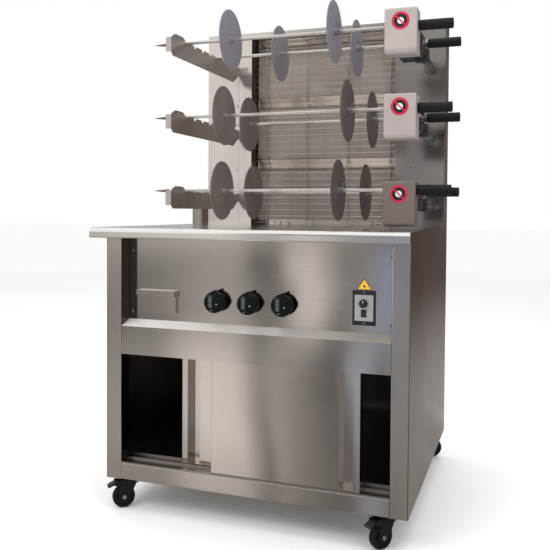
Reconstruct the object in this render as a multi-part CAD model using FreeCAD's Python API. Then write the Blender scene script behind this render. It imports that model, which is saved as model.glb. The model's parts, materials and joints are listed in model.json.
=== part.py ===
import FreeCAD, Part
import math
import os
from FreeCAD import Vector

# Three-level gas rotisserie broiler: a wheeled stainless cabinet with a slim burner
# housing at its back and three pairs of horizontal spits in front of the burners.
# Millimetres. While the pieces are made, X runs right from the cabinet's left side,
# Y runs back from the cabinet's front and Z runs up from the floor. The export moves
# everything so that the origin is the middle of the footprint, on the floor.

# ---- driving dimensions: cabinet ----
CABINET_W = 1000.0
CABINET_D = 950.0
BASE_Z = 104.0                 # underside of the frame, which is the casters' height
SKIN = 1.5                     # stainless sheet
POST = 53.0                    # square tube of the frame
TUBE_WALL = 2.0
TUBE_CORNER = 3.0              # outer corner radius of the square tube
RAIL_TOP = BASE_Z + 54.0
OPENING_TOP = 522.0            # lower edge of the fascia
LEDGE_FRONT_Z = 615.0
LEDGE_BACK_Z = 632.0
PANEL_Y = 54.0                 # how far back the control panel sits

# ---- driving dimensions: countertop ----
COUNTER_TOP = 938.0
COUNTER_LIP = 34.0
COUNTER_FRONT = -21.0
COUNTER_LEFT = -55.0
COUNTER_NOSE_R = 14.0
END_SPLASH_Y = 769.0
END_SPLASH_TOP = 1016.0

# ---- driving dimensions: burner housing ----
HOUSING_LEFT = -10.0
HOUSING_Y = 834.0
HOUSING_TOP = 1752.0
RECESS_LEFT = 191.0
RECESS_RIGHT = 805.0
RECESS_TOP = 1726.0
SEAM_X = 133.0
BURNER_BASE = 956.0
BURNER_PITCH = 264.0
BURNER_FACE_Y = 905.0
BURNER_GAP = 4.0               # between a burner box and the columns beside it
PLAQUE_COLUMNS = 4
PLAQUE_ROWS = 2
PLAQUE_T = 13.0
DEFLECTOR_H = 45.0
GUARD_Y = 892.0
GUARD_BOTTOM = 948.0
GUARD_TOP = 1718.0
GUARD_PITCH = 26.5
GUARD_POST_X = (240.0, 418.0, 597.0, 775.0)

# ---- driving dimensions: spits ----
LEVEL_Z = (1068.0, 1336.0, 1604.0)
LEVEL_NAMES = ("low", "middle", "top")
ROW_NAMES = ("front", "rear")
ROW_Y = (328.0, 600.0)
SPIT_R = 6.0
SPIT_TIP_X = 0.0
SPIT_TIP_LEN = 46.0
DISC_R = 105.0
DISC_T = 3.0
FIXED_DISC_X = ((273.0, 291.0), (280.0, 272.0), (304.0, 399.0))
SLIDING_DISC_X = ((702.0, 739.0), (732.0, 762.0), (684.0, 701.0))
RUNNING_GAP = 0.05
FREE_GAP = 0.4

# ---- driving dimensions: left arms ----
ARM_X = 131.0
ARM_T = 3.0
ARM_FRONT = 203.0
ARM_FLANGE = 18.0
ARM_DEPTH = 66.0
ARM_CREST = 3.0                # plate edge above the spit's centre, between notches
ARM_FOOT = 40.0
NOTCH_COUNT = 5
NOTCH_R = 10.0
NOTCH_PITCH = (ROW_Y[1] - ROW_Y[0]) / (NOTCH_COUNT - 1)

# ---- driving dimensions: drives on the right ----
HOOD_LEFT = 861.0
HOOD_RIGHT = 967.0
HOOD_FRONT = 285.0
HOOD_BACK = 355.0
HOOD_DROP = 104.0
HOOD_RISE = 44.0
HOOD_LIFT = (-16.0, 0.0, 8.0)
TUBE_X = 945.0
TUBE_R = 17.0
TUBE_DROP = 47.0
CARRIER_BACK = 640.0
CARRIER_X = (921.0, 927.0)
SHELF_DROP = 56.0
SHELF_T = 4.0
CLAMP_Y = (380.0, 560.0)
CLAMP_W = 34.0
CLAMP_FIT = 0.1
MOTOR_X = 888.0
MOTOR_R = 21.0
MOTOR_H = 36.0
NECK_R = 12.0
HOOD_CORNER = 5.0
HOOD_ROLL = 18.0               # rolled lower front edge
CHAIN_X = 945.0
CHAIN_W = 10.0
CHAIN_R = 18.4                 # pitch radius of the sprockets
CHAIN_ROLLER_R = 3.3
SPROCKET_TEETH = 12
SPROCKET_W = 5.2
SPROCKET_R = 18.0
HANDLE_X0 = 953.0
HANDLE_X1 = 1077.0
HANDLE_R = 17.0
GRIP_END = 14.0                # solid end of a grip, past the rod

# ---- driving dimensions: controls and gas ----
KNOB_X = (376.0, 489.0, 602.0)
KNOB_Z = 704.0
KNOB_R = 35.0
KNOB_FRONT = 20.0
KNOB_SKIRT = 12.0
KNOB_NOSE = 43.0               # reach of the knob's nose, at its right
STEM_R = 4.0
STEM_LEN = 20.0
PLATE_X = (819.0, 889.0)
PLATE_Z = (655.0, 760.0)
PLATE_BEZEL = 4.0              # how far the bezel stands off the panel
SPEED_KNOB_AT = (853.0, 721.0)
SPEED_STEM_R = 3.0
ROCKER_AT = (853.5, 691.0)
ROCKER_HALF = (7.5, 9.0)
ROCKER_PIVOT_Y = PANEL_Y - 1
ROCKER_PIN_R = 1.2
ROCKER_PIN_OUT = 2.0           # how far each pivot pin stands out of the rocker's side
DRAWER_X = (92.0, 231.0)
DRAWER_Z = (657.0, 732.0)
TRAY_BACK = 400.0
TRAY_INSET = 10.0
TRAY_LIFT = 9.0                # from the drawer front's foot to the tray's
LIP_REACH = 23.0               # how far the pull lip stands off the panel
LIP_DROP = 15.0
MANIFOLD_Y = 104.0
PIPE_R = 9.0
INLET_X = 915.0
INLET_R = 10.48                # half-inch gas thread, as a plain stub
INLET_STUB = 20.0
GLAND_X = 800.0
GLAND_Z = 760.0
GLAND_R = 10.0
CABLE_R = 4.0
RISER_R = 4.0
ELBOW_R = 6.5                  # compression elbows of the risers
RISER_Y = 925.0
RISER_X = (905.0, 870.0, 835.0)
DRAIN_Y = 250.0
DRAIN_R = 14.0
SPOUT_DROP = 40.0
ROCKER_TILT = 9.0

# ---- driving dimensions: sliding doors ----
DOOR_W = 480.0
DOOR_T = 35.0
DOOR_Z = (161.0, 530.0)
FRONT_DOOR = (376.0, 5.0)
REAR_DOOR = (253.0, 50.0)
PULL_W = 43.0
PULL_DEPTH = 30.0
PULL_EDGE = 20.0
PULL_END = 8.0                 # closed length at each end of the pull channel
DOOR_EDGE_R = 1.4
TRACK_RIB = 2.0
TRACK_START = 0.3              # gap between the frame's front and the lower track
TRACK_LIP = 5.0
TRACK_GUIDE = 9.0
HEADER_GAP = 4.0               # from a door's top to the upper track
HEADER_HANG = 14.0

# ---- driving dimensions: casters ----
WHEEL_R = 37.5
WHEEL_W = 24.0
TRAIL = 26.0
AXLE_R = 4.0
KINGPIN_R = 5.0
CROWN_R = 26.0
CROWN_T = 11.0
PLATE_T = 3.0
PLATE_HALF = (46.0, 36.0)
BOLT_OFFSET = (38.0, 28.0)
CUP_DEPTH = 6.0
LEG_GAP = 1.5
LEG_T = 3.0
PEDAL_REACH = 50.0             # from the kingpin to the pedal's pin
PEDAL_Z = 84.0
PEDAL_PIN_R = 2.5
CASTER_INSET_X = 67.0
CASTER_INSET_Y = 45.0
CASTERS = (
    ("front_left", 0, 0, 220.0),
    ("front_right", 1, 0, 230.0),
    ("rear_left", 0, 1, 150.0),
    ("rear_right", 1, 1, 25.0),
)

# ---- driving dimensions: fasteners ----
SHANK = 8.0
SEAM_SCREW_Z = (1171.5, 1446.0, 1700.0)
COLUMN_BOLT = (868.6, 1175.0)
PANEL_SCREW_Z = (658.0, 861.0)

# ---- worked out from the dimensions above ----
INNER_LEFT = SKIN + POST
INNER_RIGHT = CABINET_W - SKIN - POST
TRACK_BACK = REAR_DOOR[1] + DOOR_T + 5
DRAIN_X = (DRAWER_X[0] + DRAWER_X[1]) / 2
LEVELS = range(len(LEVEL_Z))
BURNER_INLET_Z = tuple(BURNER_BASE + level * BURNER_PITCH + 30 for level in LEVELS)
CROWN_TOP = BASE_Z - PLATE_T - CUP_DEPTH - FREE_GAP

X_AXIS = Vector(1, 0, 0)
Y_AXIS = Vector(0, 1, 0)
Z_AXIS = Vector(0, 0, 1)


# ---------------------------------------------------------------- helpers
def block(x0, x1, y0, y1, z0, z1):
    """Box between two corners."""
    return Part.makeBox(x1 - x0, y1 - y0, z1 - z0, Vector(x0, y0, z0))


def rod(start, length, radius, axis):
    return Part.makeCylinder(radius, length, Vector(*start), axis)


def ring(start, length, outer, inner, axis):
    return rod(start, length, outer, axis).cut(rod(start, length, inner, axis))


def join(shapes):
    first = shapes[0]
    if len(shapes) == 1:
        return first
    return first.fuse(list(shapes[1:])).removeSplitter()


def take_away(shape, tools):
    return shape.cut(list(tools))


def group(shapes):
    """Separate solids that share one node."""
    return Part.makeCompound(list(shapes))


def square_tube(x0, x1, y0, y1, z0, z1, along):
    """Hollow box section, open at both ends of the axis named in along."""
    axis = {"x": X_AXIS, "y": Y_AXIS, "z": Z_AXIS}[along]
    outer = block(x0, x1, y0, y1, z0, z1)
    outer = outer.makeFillet(TUBE_CORNER, [edge for edge in outer.Edges if is_along(edge, axis)])
    gap = {name: 0.0 if name == along else TUBE_WALL for name in "xyz"}
    inner = block(x0 + gap["x"], x1 - gap["x"], y0 + gap["y"], y1 - gap["y"],
                  z0 + gap["z"], z1 - gap["z"])
    return outer.cut(inner)


def prism(points, direction):
    """Solid swept from a closed outline of straight edges."""
    corners = [Vector(*point) for point in points]
    wire = Part.makePolygon(corners + corners[:1])
    return Part.Face(wire).extrude(Vector(*direction))


def edges_where(shape, test):
    return [edge for edge in shape.Edges if test(edge)]


def is_along(edge, axis):
    if len(edge.Vertexes) != 2:
        return False
    span = edge.Vertexes[1].Point - edge.Vertexes[0].Point
    return span.Length > 1e-6 and abs(abs(span.dot(axis)) - span.Length) < 1e-6


def pipe_run(points, radius, elbow_radius):
    """Straight pipes between corner points, each corner a separate round fitting."""
    fittings = [Part.makeSphere(elbow_radius, Vector(*corner)) for corner in points[1:-1]]
    pipes = []
    for start, end in zip(points, points[1:]):
        line = Vector(*end) - Vector(*start)
        pipe = Part.makeCylinder(radius, line.Length, Vector(*start), line)
        pipes.append(take_away(pipe, fittings) if fittings else pipe)
    return pipes + fittings


# ---------------------------------------------------------------- cabinet
def riser_holes(low, high):
    """Clearance holes for the gas risers, between two heights."""
    return [rod((x, RISER_Y, low), high - low, RISER_R + 3, Z_AXIS) for x in RISER_X]


def corner_plates(x_span, y_span, inward_x, inward_y):
    """Plug in a post's foot and a gusset beside it, which take the caster's bolts."""
    thick = 3.0
    gusset_x, gusset_y = 62.0, 30.0
    plug = block(x_span[0] + TUBE_WALL, x_span[1] - TUBE_WALL,
                 y_span[0] + TUBE_WALL, y_span[1] - TUBE_WALL, BASE_Z, BASE_Z + thick)
    x_edge = x_span[1] if inward_x > 0 else x_span[0]
    y_edge = y_span[1] if inward_y > 0 else y_span[0]
    gusset = block(*sorted((x_edge, x_edge + inward_x * gusset_x)),
                   *sorted((y_edge, y_edge + inward_y * gusset_y)), BASE_Z, BASE_Z + thick)
    return [plug, gusset]


def cabinet_frame():
    """Four posts with rails between them, all square tube, with plates at the feet."""
    left = (SKIN, SKIN + POST)
    right = (CABINET_W - SKIN - POST, CABINET_W - SKIN)
    front = (0.0, POST)
    back = (CABINET_D - SKIN - POST, CABINET_D - SKIN)
    post_top = COUNTER_TOP - SKIN
    tubes = []
    for x_span, inward_x in ((left, 1), (right, -1)):
        for y_span, inward_y in ((front, 1), (back, -1)):
            tubes.append(square_tube(*x_span, *y_span, BASE_Z, post_top, "z"))
            tubes.extend(corner_plates(x_span, y_span, inward_x, inward_y))
    for z_span in ((BASE_Z, RAIL_TOP), (post_top - POST, post_top)):
        for x_span in (left, right):
            tubes.append(square_tube(*x_span, front[1], back[0], *z_span, "y"))
    for y_span in (front, back):
        tubes.append(square_tube(left[1], right[0], *y_span, BASE_Z, RAIL_TOP, "x"))
    top_rail = square_tube(left[1], right[0], *back, post_top - POST, post_top, "x")
    tubes.append(take_away(top_rail, riser_holes(post_top - POST - 1, post_top + 1)))
    return group(tubes)


def side_panels():
    left = block(0, SKIN, 0, CABINET_D, BASE_Z, COUNTER_TOP - SKIN)
    right = block(CABINET_W - SKIN, CABINET_W, 0, CABINET_D, BASE_Z, COUNTER_TOP)
    return group([left, right])


def back_panel():
    """Back sheet of the cabinet, with the cable gland of the mains inlet."""
    sheet = block(SKIN, CABINET_W - SKIN, CABINET_D - SKIN, CABINET_D,
                  BASE_Z, COUNTER_TOP - SKIN)
    inlet_hole = rod((INLET_X, CABINET_D - 10, KNOB_Z), 20, PIPE_R + 1, Y_AXIS)
    gland_hole = rod((GLAND_X, CABINET_D - 10, GLAND_Z), 20, GLAND_R, Y_AXIS)
    inside, outside = 14.0, 15.0
    body = rod((GLAND_X, CABINET_D - inside, GLAND_Z), inside, GLAND_R, Y_AXIS)
    dome = Part.makeCone(GLAND_R + 4, GLAND_R, outside,
                         Vector(GLAND_X, CABINET_D, GLAND_Z), Y_AXIS)
    bore = rod((GLAND_X, CABINET_D - 2 * inside, GLAND_Z), 4 * inside, CABLE_R, Y_AXIS)
    gland = take_away(join([body, dome]), [bore])
    return group([take_away(sheet, [inlet_hole, gland_hole]), gland])


def cabinet_floor():
    inner_left = SKIN
    inner_right = CABINET_W - SKIN
    return block(inner_left, inner_right, TRACK_BACK, CABINET_D - SKIN - POST,
                 RAIL_TOP, RAIL_TOP + SKIN)


def countertop():
    """Sheet top with a rolled front edge, open underneath, with a drain and a splash."""
    right = CABINET_W - SKIN
    low = COUNTER_TOP - COUNTER_LIP
    outer = block(COUNTER_LEFT, right, COUNTER_FRONT, CABINET_D - SKIN, low, COUNTER_TOP)

    def on_front_top(edge):
        middle = edge.CenterOfMass
        at_front = abs(middle.y - COUNTER_FRONT) < 0.1
        return is_along(edge, X_AXIS) and at_front and middle.z > low + 1

    def on_front_low(edge):
        middle = edge.CenterOfMass
        at_front = abs(middle.y - COUNTER_FRONT) < 0.1
        return is_along(edge, X_AXIS) and at_front and middle.z < low + 1

    outer = outer.makeFillet(COUNTER_NOSE_R, edges_where(outer, on_front_top))
    outer = outer.makeFillet(4.0, edges_where(outer, on_front_low))
    hollow = block(COUNTER_LEFT + SKIN, right, COUNTER_FRONT + SKIN, CABINET_D - SKIN,
                   low + SKIN, COUNTER_TOP - SKIN)

    def on_hollow_nose(edge):
        middle = edge.CenterOfMass
        at_front = abs(middle.y - COUNTER_FRONT - SKIN) < 0.1
        return is_along(edge, X_AXIS) and at_front and middle.z > low + 5

    hollow = hollow.makeFillet(COUNTER_NOSE_R - SKIN, edges_where(hollow, on_hollow_nose))
    underside = block(COUNTER_LEFT + SKIN, right, -SKIN, CABINET_D, low - 1, low + 5)
    underside = underside.cut(block(COUNTER_LEFT, -SKIN, -5, CABINET_D + 1, low - 2, low + 6))
    shell = take_away(outer, [hollow, underside])
    splash = block(COUNTER_LEFT, COUNTER_LEFT + SKIN, END_SPLASH_Y, CABINET_D - SKIN,
                   COUNTER_TOP - 5, END_SPLASH_TOP)
    spout = ring((DRAIN_X, DRAIN_Y, COUNTER_TOP - SPOUT_DROP), SPOUT_DROP - 1,
                 DRAIN_R + SKIN, DRAIN_R, Z_AXIS)
    shell = join([shell, splash, spout])
    drain = rod((DRAIN_X, DRAIN_Y, COUNTER_TOP - 2 * SPOUT_DROP), 3 * SPOUT_DROP,
                DRAIN_R, Z_AXIS)
    return take_away(shell, [drain] + riser_holes(COUNTER_TOP - 5, COUNTER_TOP + 5))


def control_panel():
    """Recessed sheet with the openings for the knobs, the drawer and the switches."""
    sheet = block(INNER_LEFT, INNER_RIGHT, PANEL_Y, PANEL_Y + SKIN,
                  LEDGE_BACK_Z - 8, COUNTER_TOP - SKIN)
    holes = [rod((x, PANEL_Y - 5, KNOB_Z), 12, 2 * STEM_R, Y_AXIS) for x in KNOB_X]
    holes.append(block(DRAWER_X[0] + 6, DRAWER_X[1] - 6, PANEL_Y - 5, PANEL_Y + 5,
                       DRAWER_Z[0] + 5, DRAWER_Z[1] - 5))
    holes.append(rod((SPEED_KNOB_AT[0], PANEL_Y - 5, SPEED_KNOB_AT[1]), 12, 6.0, Y_AXIS))
    holes.append(block(ROCKER_AT[0] - 11, ROCKER_AT[0] + 11, PANEL_Y - 5, PANEL_Y + 5,
                       ROCKER_AT[1] - 12, ROCKER_AT[1] + 12))
    return take_away(sheet, holes)


def fascia():
    """Folded strip over the door opening, with the ledge that slopes up to the panel."""
    outline = [
        (INNER_LEFT, 0, OPENING_TOP),
        (INNER_LEFT, SKIN, OPENING_TOP),
        (INNER_LEFT, SKIN, LEDGE_FRONT_Z - SKIN),
        (INNER_LEFT, PANEL_Y, LEDGE_BACK_Z - SKIN),
        (INNER_LEFT, PANEL_Y, LEDGE_BACK_Z),
        (INNER_LEFT, 0, LEDGE_FRONT_Z),
    ]
    return prism(outline, (INNER_RIGHT - INNER_LEFT, 0, 0))


def door_tracks():
    """Ribbed lower track and flanged upper track for the two sliding doors."""
    header_z = DOOR_Z[1] + HEADER_GAP
    lower = [block(INNER_LEFT, INNER_RIGHT, TRACK_START, TRACK_BACK, RAIL_TOP, RAIL_TOP + SKIN),
             block(INNER_LEFT, INNER_RIGHT, TRACK_START, TRACK_START + TRACK_RIB,
                   RAIL_TOP, RAIL_TOP + TRACK_LIP)]
    upper = [block(INNER_LEFT, INNER_RIGHT, SKIN, TRACK_BACK, header_z, header_z + SKIN)]
    between_doors = (FRONT_DOOR[1] + DOOR_T + REAR_DOOR[1]) / 2
    for y in (between_doors, TRACK_BACK - TRACK_RIB / 2):
        rib_y = (y - TRACK_RIB / 2, y + TRACK_RIB / 2)
        lower.append(block(INNER_LEFT, INNER_RIGHT, *rib_y, RAIL_TOP, RAIL_TOP + TRACK_GUIDE))
        upper.append(block(INNER_LEFT, INNER_RIGHT, *rib_y, header_z - HEADER_HANG, header_z))
    return group([join(lower), join(upper)])


def door(x0, y0, pull_x0):
    """Folded door pan, open at the back, with a full-height pull channel."""
    x1 = x0 + DOOR_W
    y1 = y0 + DOOR_T
    low, high = DOOR_Z
    pan = block(x0, x1, y0, y1, low, high)

    def round_the_face(edge):
        return abs(edge.CenterOfMass.y - y0) < 0.1

    pan = pan.makeFillet(DOOR_EDGE_R, edges_where(pan, round_the_face))
    pan = pan.cut(block(x0 + SKIN, x1 - SKIN, y0 + SKIN, y1 + 1, low + SKIN, high - SKIN))
    pull_x1 = pull_x0 + PULL_W
    channel = block(pull_x0 - SKIN, pull_x1 + SKIN, y0 + SKIN / 2, y0 + PULL_DEPTH + SKIN,
                    low + SKIN / 2, high - SKIN / 2)
    pull = block(pull_x0, pull_x1, y0 - 1, y0 + PULL_DEPTH, low + PULL_END, high - PULL_END)
    return take_away(join([pan, channel]), [pull])


def front_door():
    x0, y0 = FRONT_DOOR
    return door(x0, y0, x0 + DOOR_W - PULL_EDGE - PULL_W)


def rear_door():
    x0, y0 = REAR_DOOR
    return door(x0, y0, x0 + PULL_EDGE)


# ---------------------------------------------------------------- burner housing
def folded_column(x0, x1, with_left, with_right):
    """Upright folded sheet: a front face and the side walls asked for."""
    z0, z1 = COUNTER_TOP, HOUSING_TOP - SKIN
    walls = [block(x0, x1, HOUSING_Y, HOUSING_Y + SKIN, z0, z1)]
    if with_left:
        walls.append(block(x0, x0 + SKIN, HOUSING_Y, CABINET_D - SKIN, z0, z1))
    if with_right:
        walls.append(block(x1 - SKIN, x1, HOUSING_Y, CABINET_D - SKIN, z0, z1))
    return join(walls)


def housing_columns():
    outer_left = folded_column(HOUSING_LEFT, SEAM_X - 0.4, True, False)
    inner_left = folded_column(SEAM_X, RECESS_LEFT, False, True)
    right = folded_column(RECESS_RIGHT, CABINET_W, True, True)
    entries = [rod((RECESS_RIGHT - 5, RISER_Y, z), 15, RISER_R + 3, X_AXIS)
               for z in BURNER_INLET_Z]
    return group([outer_left, inner_left, take_away(right, entries)])


def housing_shell():
    """Back sheet, and the top cap whose front strip closes the recess above."""
    back = block(HOUSING_LEFT, CABINET_W, CABINET_D - SKIN, CABINET_D,
                 COUNTER_TOP, HOUSING_TOP - SKIN)
    roof = block(HOUSING_LEFT, CABINET_W, HOUSING_Y, CABINET_D,
                 HOUSING_TOP - SKIN, HOUSING_TOP)
    strip = block(RECESS_LEFT, RECESS_RIGHT, HOUSING_Y, HOUSING_Y + SKIN,
                  RECESS_TOP, HOUSING_TOP - SKIN)
    lip = block(RECESS_LEFT, RECESS_RIGHT, HOUSING_Y, HOUSING_Y + 40,
                RECESS_TOP, RECESS_TOP + SKIN)
    return group([back, join([roof, strip, lip])])


def burner_bodies():
    """Three open-fronted burner boxes, each with a sloping deflector along its top."""
    shapes = []
    for level in LEVELS:
        z0 = BURNER_BASE + level * BURNER_PITCH + 1
        z1 = z0 + BURNER_PITCH - 2
        x0, x1 = RECESS_LEFT + BURNER_GAP, RECESS_RIGHT - BURNER_GAP
        y0, y1 = BURNER_FACE_Y, CABINET_D - SKIN
        box = block(x0, x1, y0, y1, z0, z1)
        box = box.cut(block(x0 + SKIN, x1 - SKIN, y0 - 1, y1 - SKIN, z0 + SKIN, z1 - SKIN))
        slope = prism([
            (x0, y0 + 2, z1 - SKIN), (x0, y0 + 2 + SKIN, z1 - SKIN),
            (x0, y0 + 18 + SKIN, z1 - DEFLECTOR_H), (x0, y0 + 18, z1 - DEFLECTOR_H),
        ], (x1 - x0, 0, 0))
        inlet = rod((x1 - 8, RISER_Y, BURNER_INLET_Z[level]), 20, RISER_R + 0.5, X_AXIS)
        shapes.append(take_away(join([box, slope]), [inlet]))
    return group(shapes)


def burner_plaques():
    """Ceramic plaques, four across and two high in each burner."""
    x0, x1 = RECESS_LEFT + BURNER_GAP + SKIN, RECESS_RIGHT - BURNER_GAP - SKIN
    width = (x1 - x0) / PLAQUE_COLUMNS
    height = (BURNER_PITCH - DEFLECTOR_H - 4 * SKIN) / PLAQUE_ROWS
    seam = 0.5
    front = BURNER_FACE_Y + 3
    plaques = []
    for level in LEVELS:
        z0 = BURNER_BASE + level * BURNER_PITCH + 1 + SKIN
        for column in range(PLAQUE_COLUMNS):
            for row in range(PLAQUE_ROWS):
                left = x0 + column * width
                low = z0 + row * height
                plaques.append(block(left + seam / 2, left + width - seam / 2,
                                     front, front + PLAQUE_T, low, low + height - seam))
    return group(plaques)


def burner_guard():
    """Welded guard of thin bars across four upright wires."""
    bar_r, upright_r, weld = 1.6, 2.5, 0.6
    x0, x1 = RECESS_LEFT, RECESS_RIGHT
    upright_y = GUARD_Y + bar_r + upright_r - weld
    wires = [rod((x, upright_y, COUNTER_TOP), GUARD_TOP - COUNTER_TOP + 3,
                 upright_r, Z_AXIS) for x in GUARD_POST_X]
    count = int((GUARD_TOP - GUARD_BOTTOM) / GUARD_PITCH) + 1
    for index in range(count):
        z = GUARD_BOTTOM + index * GUARD_PITCH
        wires.append(rod((x0, GUARD_Y, z), x1 - x0, bar_r, X_AXIS))
    return join(wires)


# ---------------------------------------------------------------- left arms
def spit_arm(spit_z):
    """Plate with notches for the spits, a hump at the front and a bent front flange."""
    crest = spit_z + ARM_CREST
    x0 = ARM_X - ARM_T / 2
    bottom = spit_z - ARM_DEPTH
    hump = spit_z + 14
    foot_z = (spit_z - 28, crest + 2)
    first_notch = ROW_Y[0]
    outline = [
        (x0, ARM_FRONT, bottom + 12),
        (x0, ARM_FRONT + 14, bottom),
        (x0, HOUSING_Y - 64, bottom),
        (x0, HOUSING_Y, foot_z[0]),
        (x0, HOUSING_Y, foot_z[1]),
        (x0, ROW_Y[1] + NOTCH_PITCH / 2, crest),
        (x0, first_notch - 16, crest),
        (x0, first_notch - 22, spit_z + 9),
        (x0, first_notch - 38, hump),
        (x0, first_notch - 92, hump),
        (x0, ARM_FRONT + 12, spit_z + 6),
        (x0, ARM_FRONT, spit_z - 4),
    ]
    plate = prism(outline, (ARM_T, 0, 0))
    notches = []
    for index in range(NOTCH_COUNT):
        y = ROW_Y[0] + index * NOTCH_PITCH
        seat = spit_z - SPIT_R - FREE_GAP + NOTCH_R
        notches.append(rod((x0 - 1, y, seat), ARM_T + 2, NOTCH_R, X_AXIS))
        notches.append(block(x0 - 1, x0 + ARM_T + 1, y - NOTCH_R, y + NOTCH_R,
                             seat, spit_z + 30))
    plate = take_away(plate, notches)
    flange = block(x0 - ARM_FLANGE, x0 + ARM_T, ARM_FRONT - ARM_T, ARM_FRONT,
                   bottom + 12, spit_z - 4)
    foot = block(x0, SEAM_X + ARM_FOOT, HOUSING_Y - ARM_T, HOUSING_Y, *foot_z)
    return join([plate, flange, foot])


def spit_arms():
    return group([spit_arm(z) for z in LEVEL_Z])


# ---------------------------------------------------------------- drives
def support_tubes():
    """Round tubes that carry the drives, each on a flange on the right column."""
    tubes = []
    for z in LEVEL_Z:
        centre_z = z - TUBE_DROP
        front = HOOD_FRONT + 20
        tube = rod((TUBE_X, front, centre_z), HOUSING_Y - front, TUBE_R, Y_AXIS)
        flange = rod((TUBE_X, HOUSING_Y - 8, centre_z), 8, 28.0, Y_AXIS)
        bore = rod((TUBE_X, front - 1, centre_z), HOUSING_Y - front - 8, TUBE_R - 2, Y_AXIS)
        tubes.append(take_away(join([tube, flange]), [bore]))
    return group(tubes)


def drive_carrier(z):
    """Bearing plate with a shelf for the motor and two clamps on the support tube."""
    front, back = HOOD_FRONT + 17, CARRIER_BACK
    plate_x0, plate_x1 = CARRIER_X
    plate = block(*CARRIER_X, front, back, z - SHELF_DROP, z + 14)
    shelf = block(HOOD_LEFT + 5, plate_x1, front, back, z - SHELF_DROP,
                  z - SHELF_DROP + SHELF_T)
    bosses = [rod((plate_x0 - 8, y, z), 14, 13.0, X_AXIS) for y in ROW_Y]
    wall = TUBE_R + 6
    tube_z = z - TUBE_DROP
    clamps = [block(plate_x0, TUBE_X + wall, y, y + CLAMP_W, tube_z - wall, tube_z + wall - 1)
              for y in CLAMP_Y]
    carrier = join([plate, shelf] + bosses + clamps)
    tube_hole = rod((TUBE_X, front - 5, tube_z), back - front + 10,
                    TUBE_R + CLAMP_FIT, Y_AXIS)
    neck_hole = rod((MOTOR_X, ROW_Y[0], z - 2 * SHELF_DROP), 2 * SHELF_DROP, NECK_R + 0.5,
                    Z_AXIS)
    bores = [rod((plate_x0 - 20, y, z), 40, SPIT_R + RUNNING_GAP, X_AXIS) for y in ROW_Y]
    return take_away(carrier, [tube_hole, neck_hole] + bores)


def drive_carriers():
    return group([drive_carrier(z) for z in LEVEL_Z])


def gear_motors():
    """Hollow-shaft gear head around each front spit, with its motor hanging below."""
    motors = []
    for z in LEVEL_Z:
        head = block(HOOD_LEFT + 8, CARRIER_X[0] - 8.5, HOOD_FRONT + 18, HOOD_BACK - 4,
                     z - 24, z + 22)
        neck = rod((MOTOR_X, ROW_Y[0], z - SHELF_DROP), SHELF_DROP - 22, NECK_R, Z_AXIS)
        bore = rod((HOOD_LEFT, ROW_Y[0], z), 80, SPIT_R + RUNNING_GAP, X_AXIS)
        motors.append(join([head, neck]).cut(bore))
        motors.append(rod((MOTOR_X, ROW_Y[0], z - SHELF_DROP - MOTOR_H), MOTOR_H, MOTOR_R,
                          Z_AXIS))
    return group(motors)


def drive_hood(z, lift):
    """Cover over the front drive, with a rolled lower front edge, open at the back."""
    low = z - HOOD_DROP + lift
    high = z + HOOD_RISE + lift

    def rounded(shape, front, foot, roll, corner):
        """Roll the lower front edge, then round every other edge but those at the back."""
        def lower_front(edge):
            middle = edge.CenterOfMass
            return is_along(edge, X_AXIS) and abs(middle.y - front) < 0.1 and middle.z < foot + 1

        def other(edge):
            return edge.CenterOfMass.y < HOOD_BACK - 0.5

        shape = shape.makeFillet(roll, edges_where(shape, lower_front))
        smooth = {edge.hashCode() for edge in edges_where(shape, other)
                  if is_along(edge, X_AXIS) and edge.CenterOfMass.z < foot + roll + 1}
        return shape.makeFillet(corner, [edge for edge in edges_where(shape, other)
                                         if edge.hashCode() not in smooth])

    outer = rounded(block(HOOD_LEFT, HOOD_RIGHT, HOOD_FRONT, HOOD_BACK, low, high),
                    HOOD_FRONT, low, HOOD_ROLL, HOOD_CORNER)
    hollow = rounded(block(HOOD_LEFT + SKIN, HOOD_RIGHT - SKIN, HOOD_FRONT + SKIN, HOOD_BACK + 1,
                           low + SKIN, high - SKIN),
                     HOOD_FRONT + SKIN, low + SKIN, HOOD_ROLL - SKIN, HOOD_CORNER - SKIN)
    spit_hole = rod((HOOD_LEFT - 5, ROW_Y[0], z), 20, 12.0, X_AXIS)
    handle_hole = rod((HOOD_RIGHT - 10, ROW_Y[0], z), 20, HANDLE_R + 3, X_AXIS)
    return take_away(outer, [hollow, spit_hole, handle_hole])


def drive_hoods():
    return group([drive_hood(z, lift) for z, lift in zip(LEVEL_Z, HOOD_LIFT)])


def drive_chains():
    """Chain loop from the driven front spit to the rear spit on each level."""
    inner = SPROCKET_R + 0.6
    outer = inner + 3.4
    x0 = CHAIN_X - CHAIN_W / 2

    def track(z, radius):
        ends = [rod((x0, y, z), CHAIN_W, radius, X_AXIS) for y in ROW_Y]
        middle = block(x0, x0 + CHAIN_W, *ROW_Y, z - radius, z + radius)
        return join([middle] + ends)

    return group([track(z, outer).cut(track(z, inner)) for z in LEVEL_Z])


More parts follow.
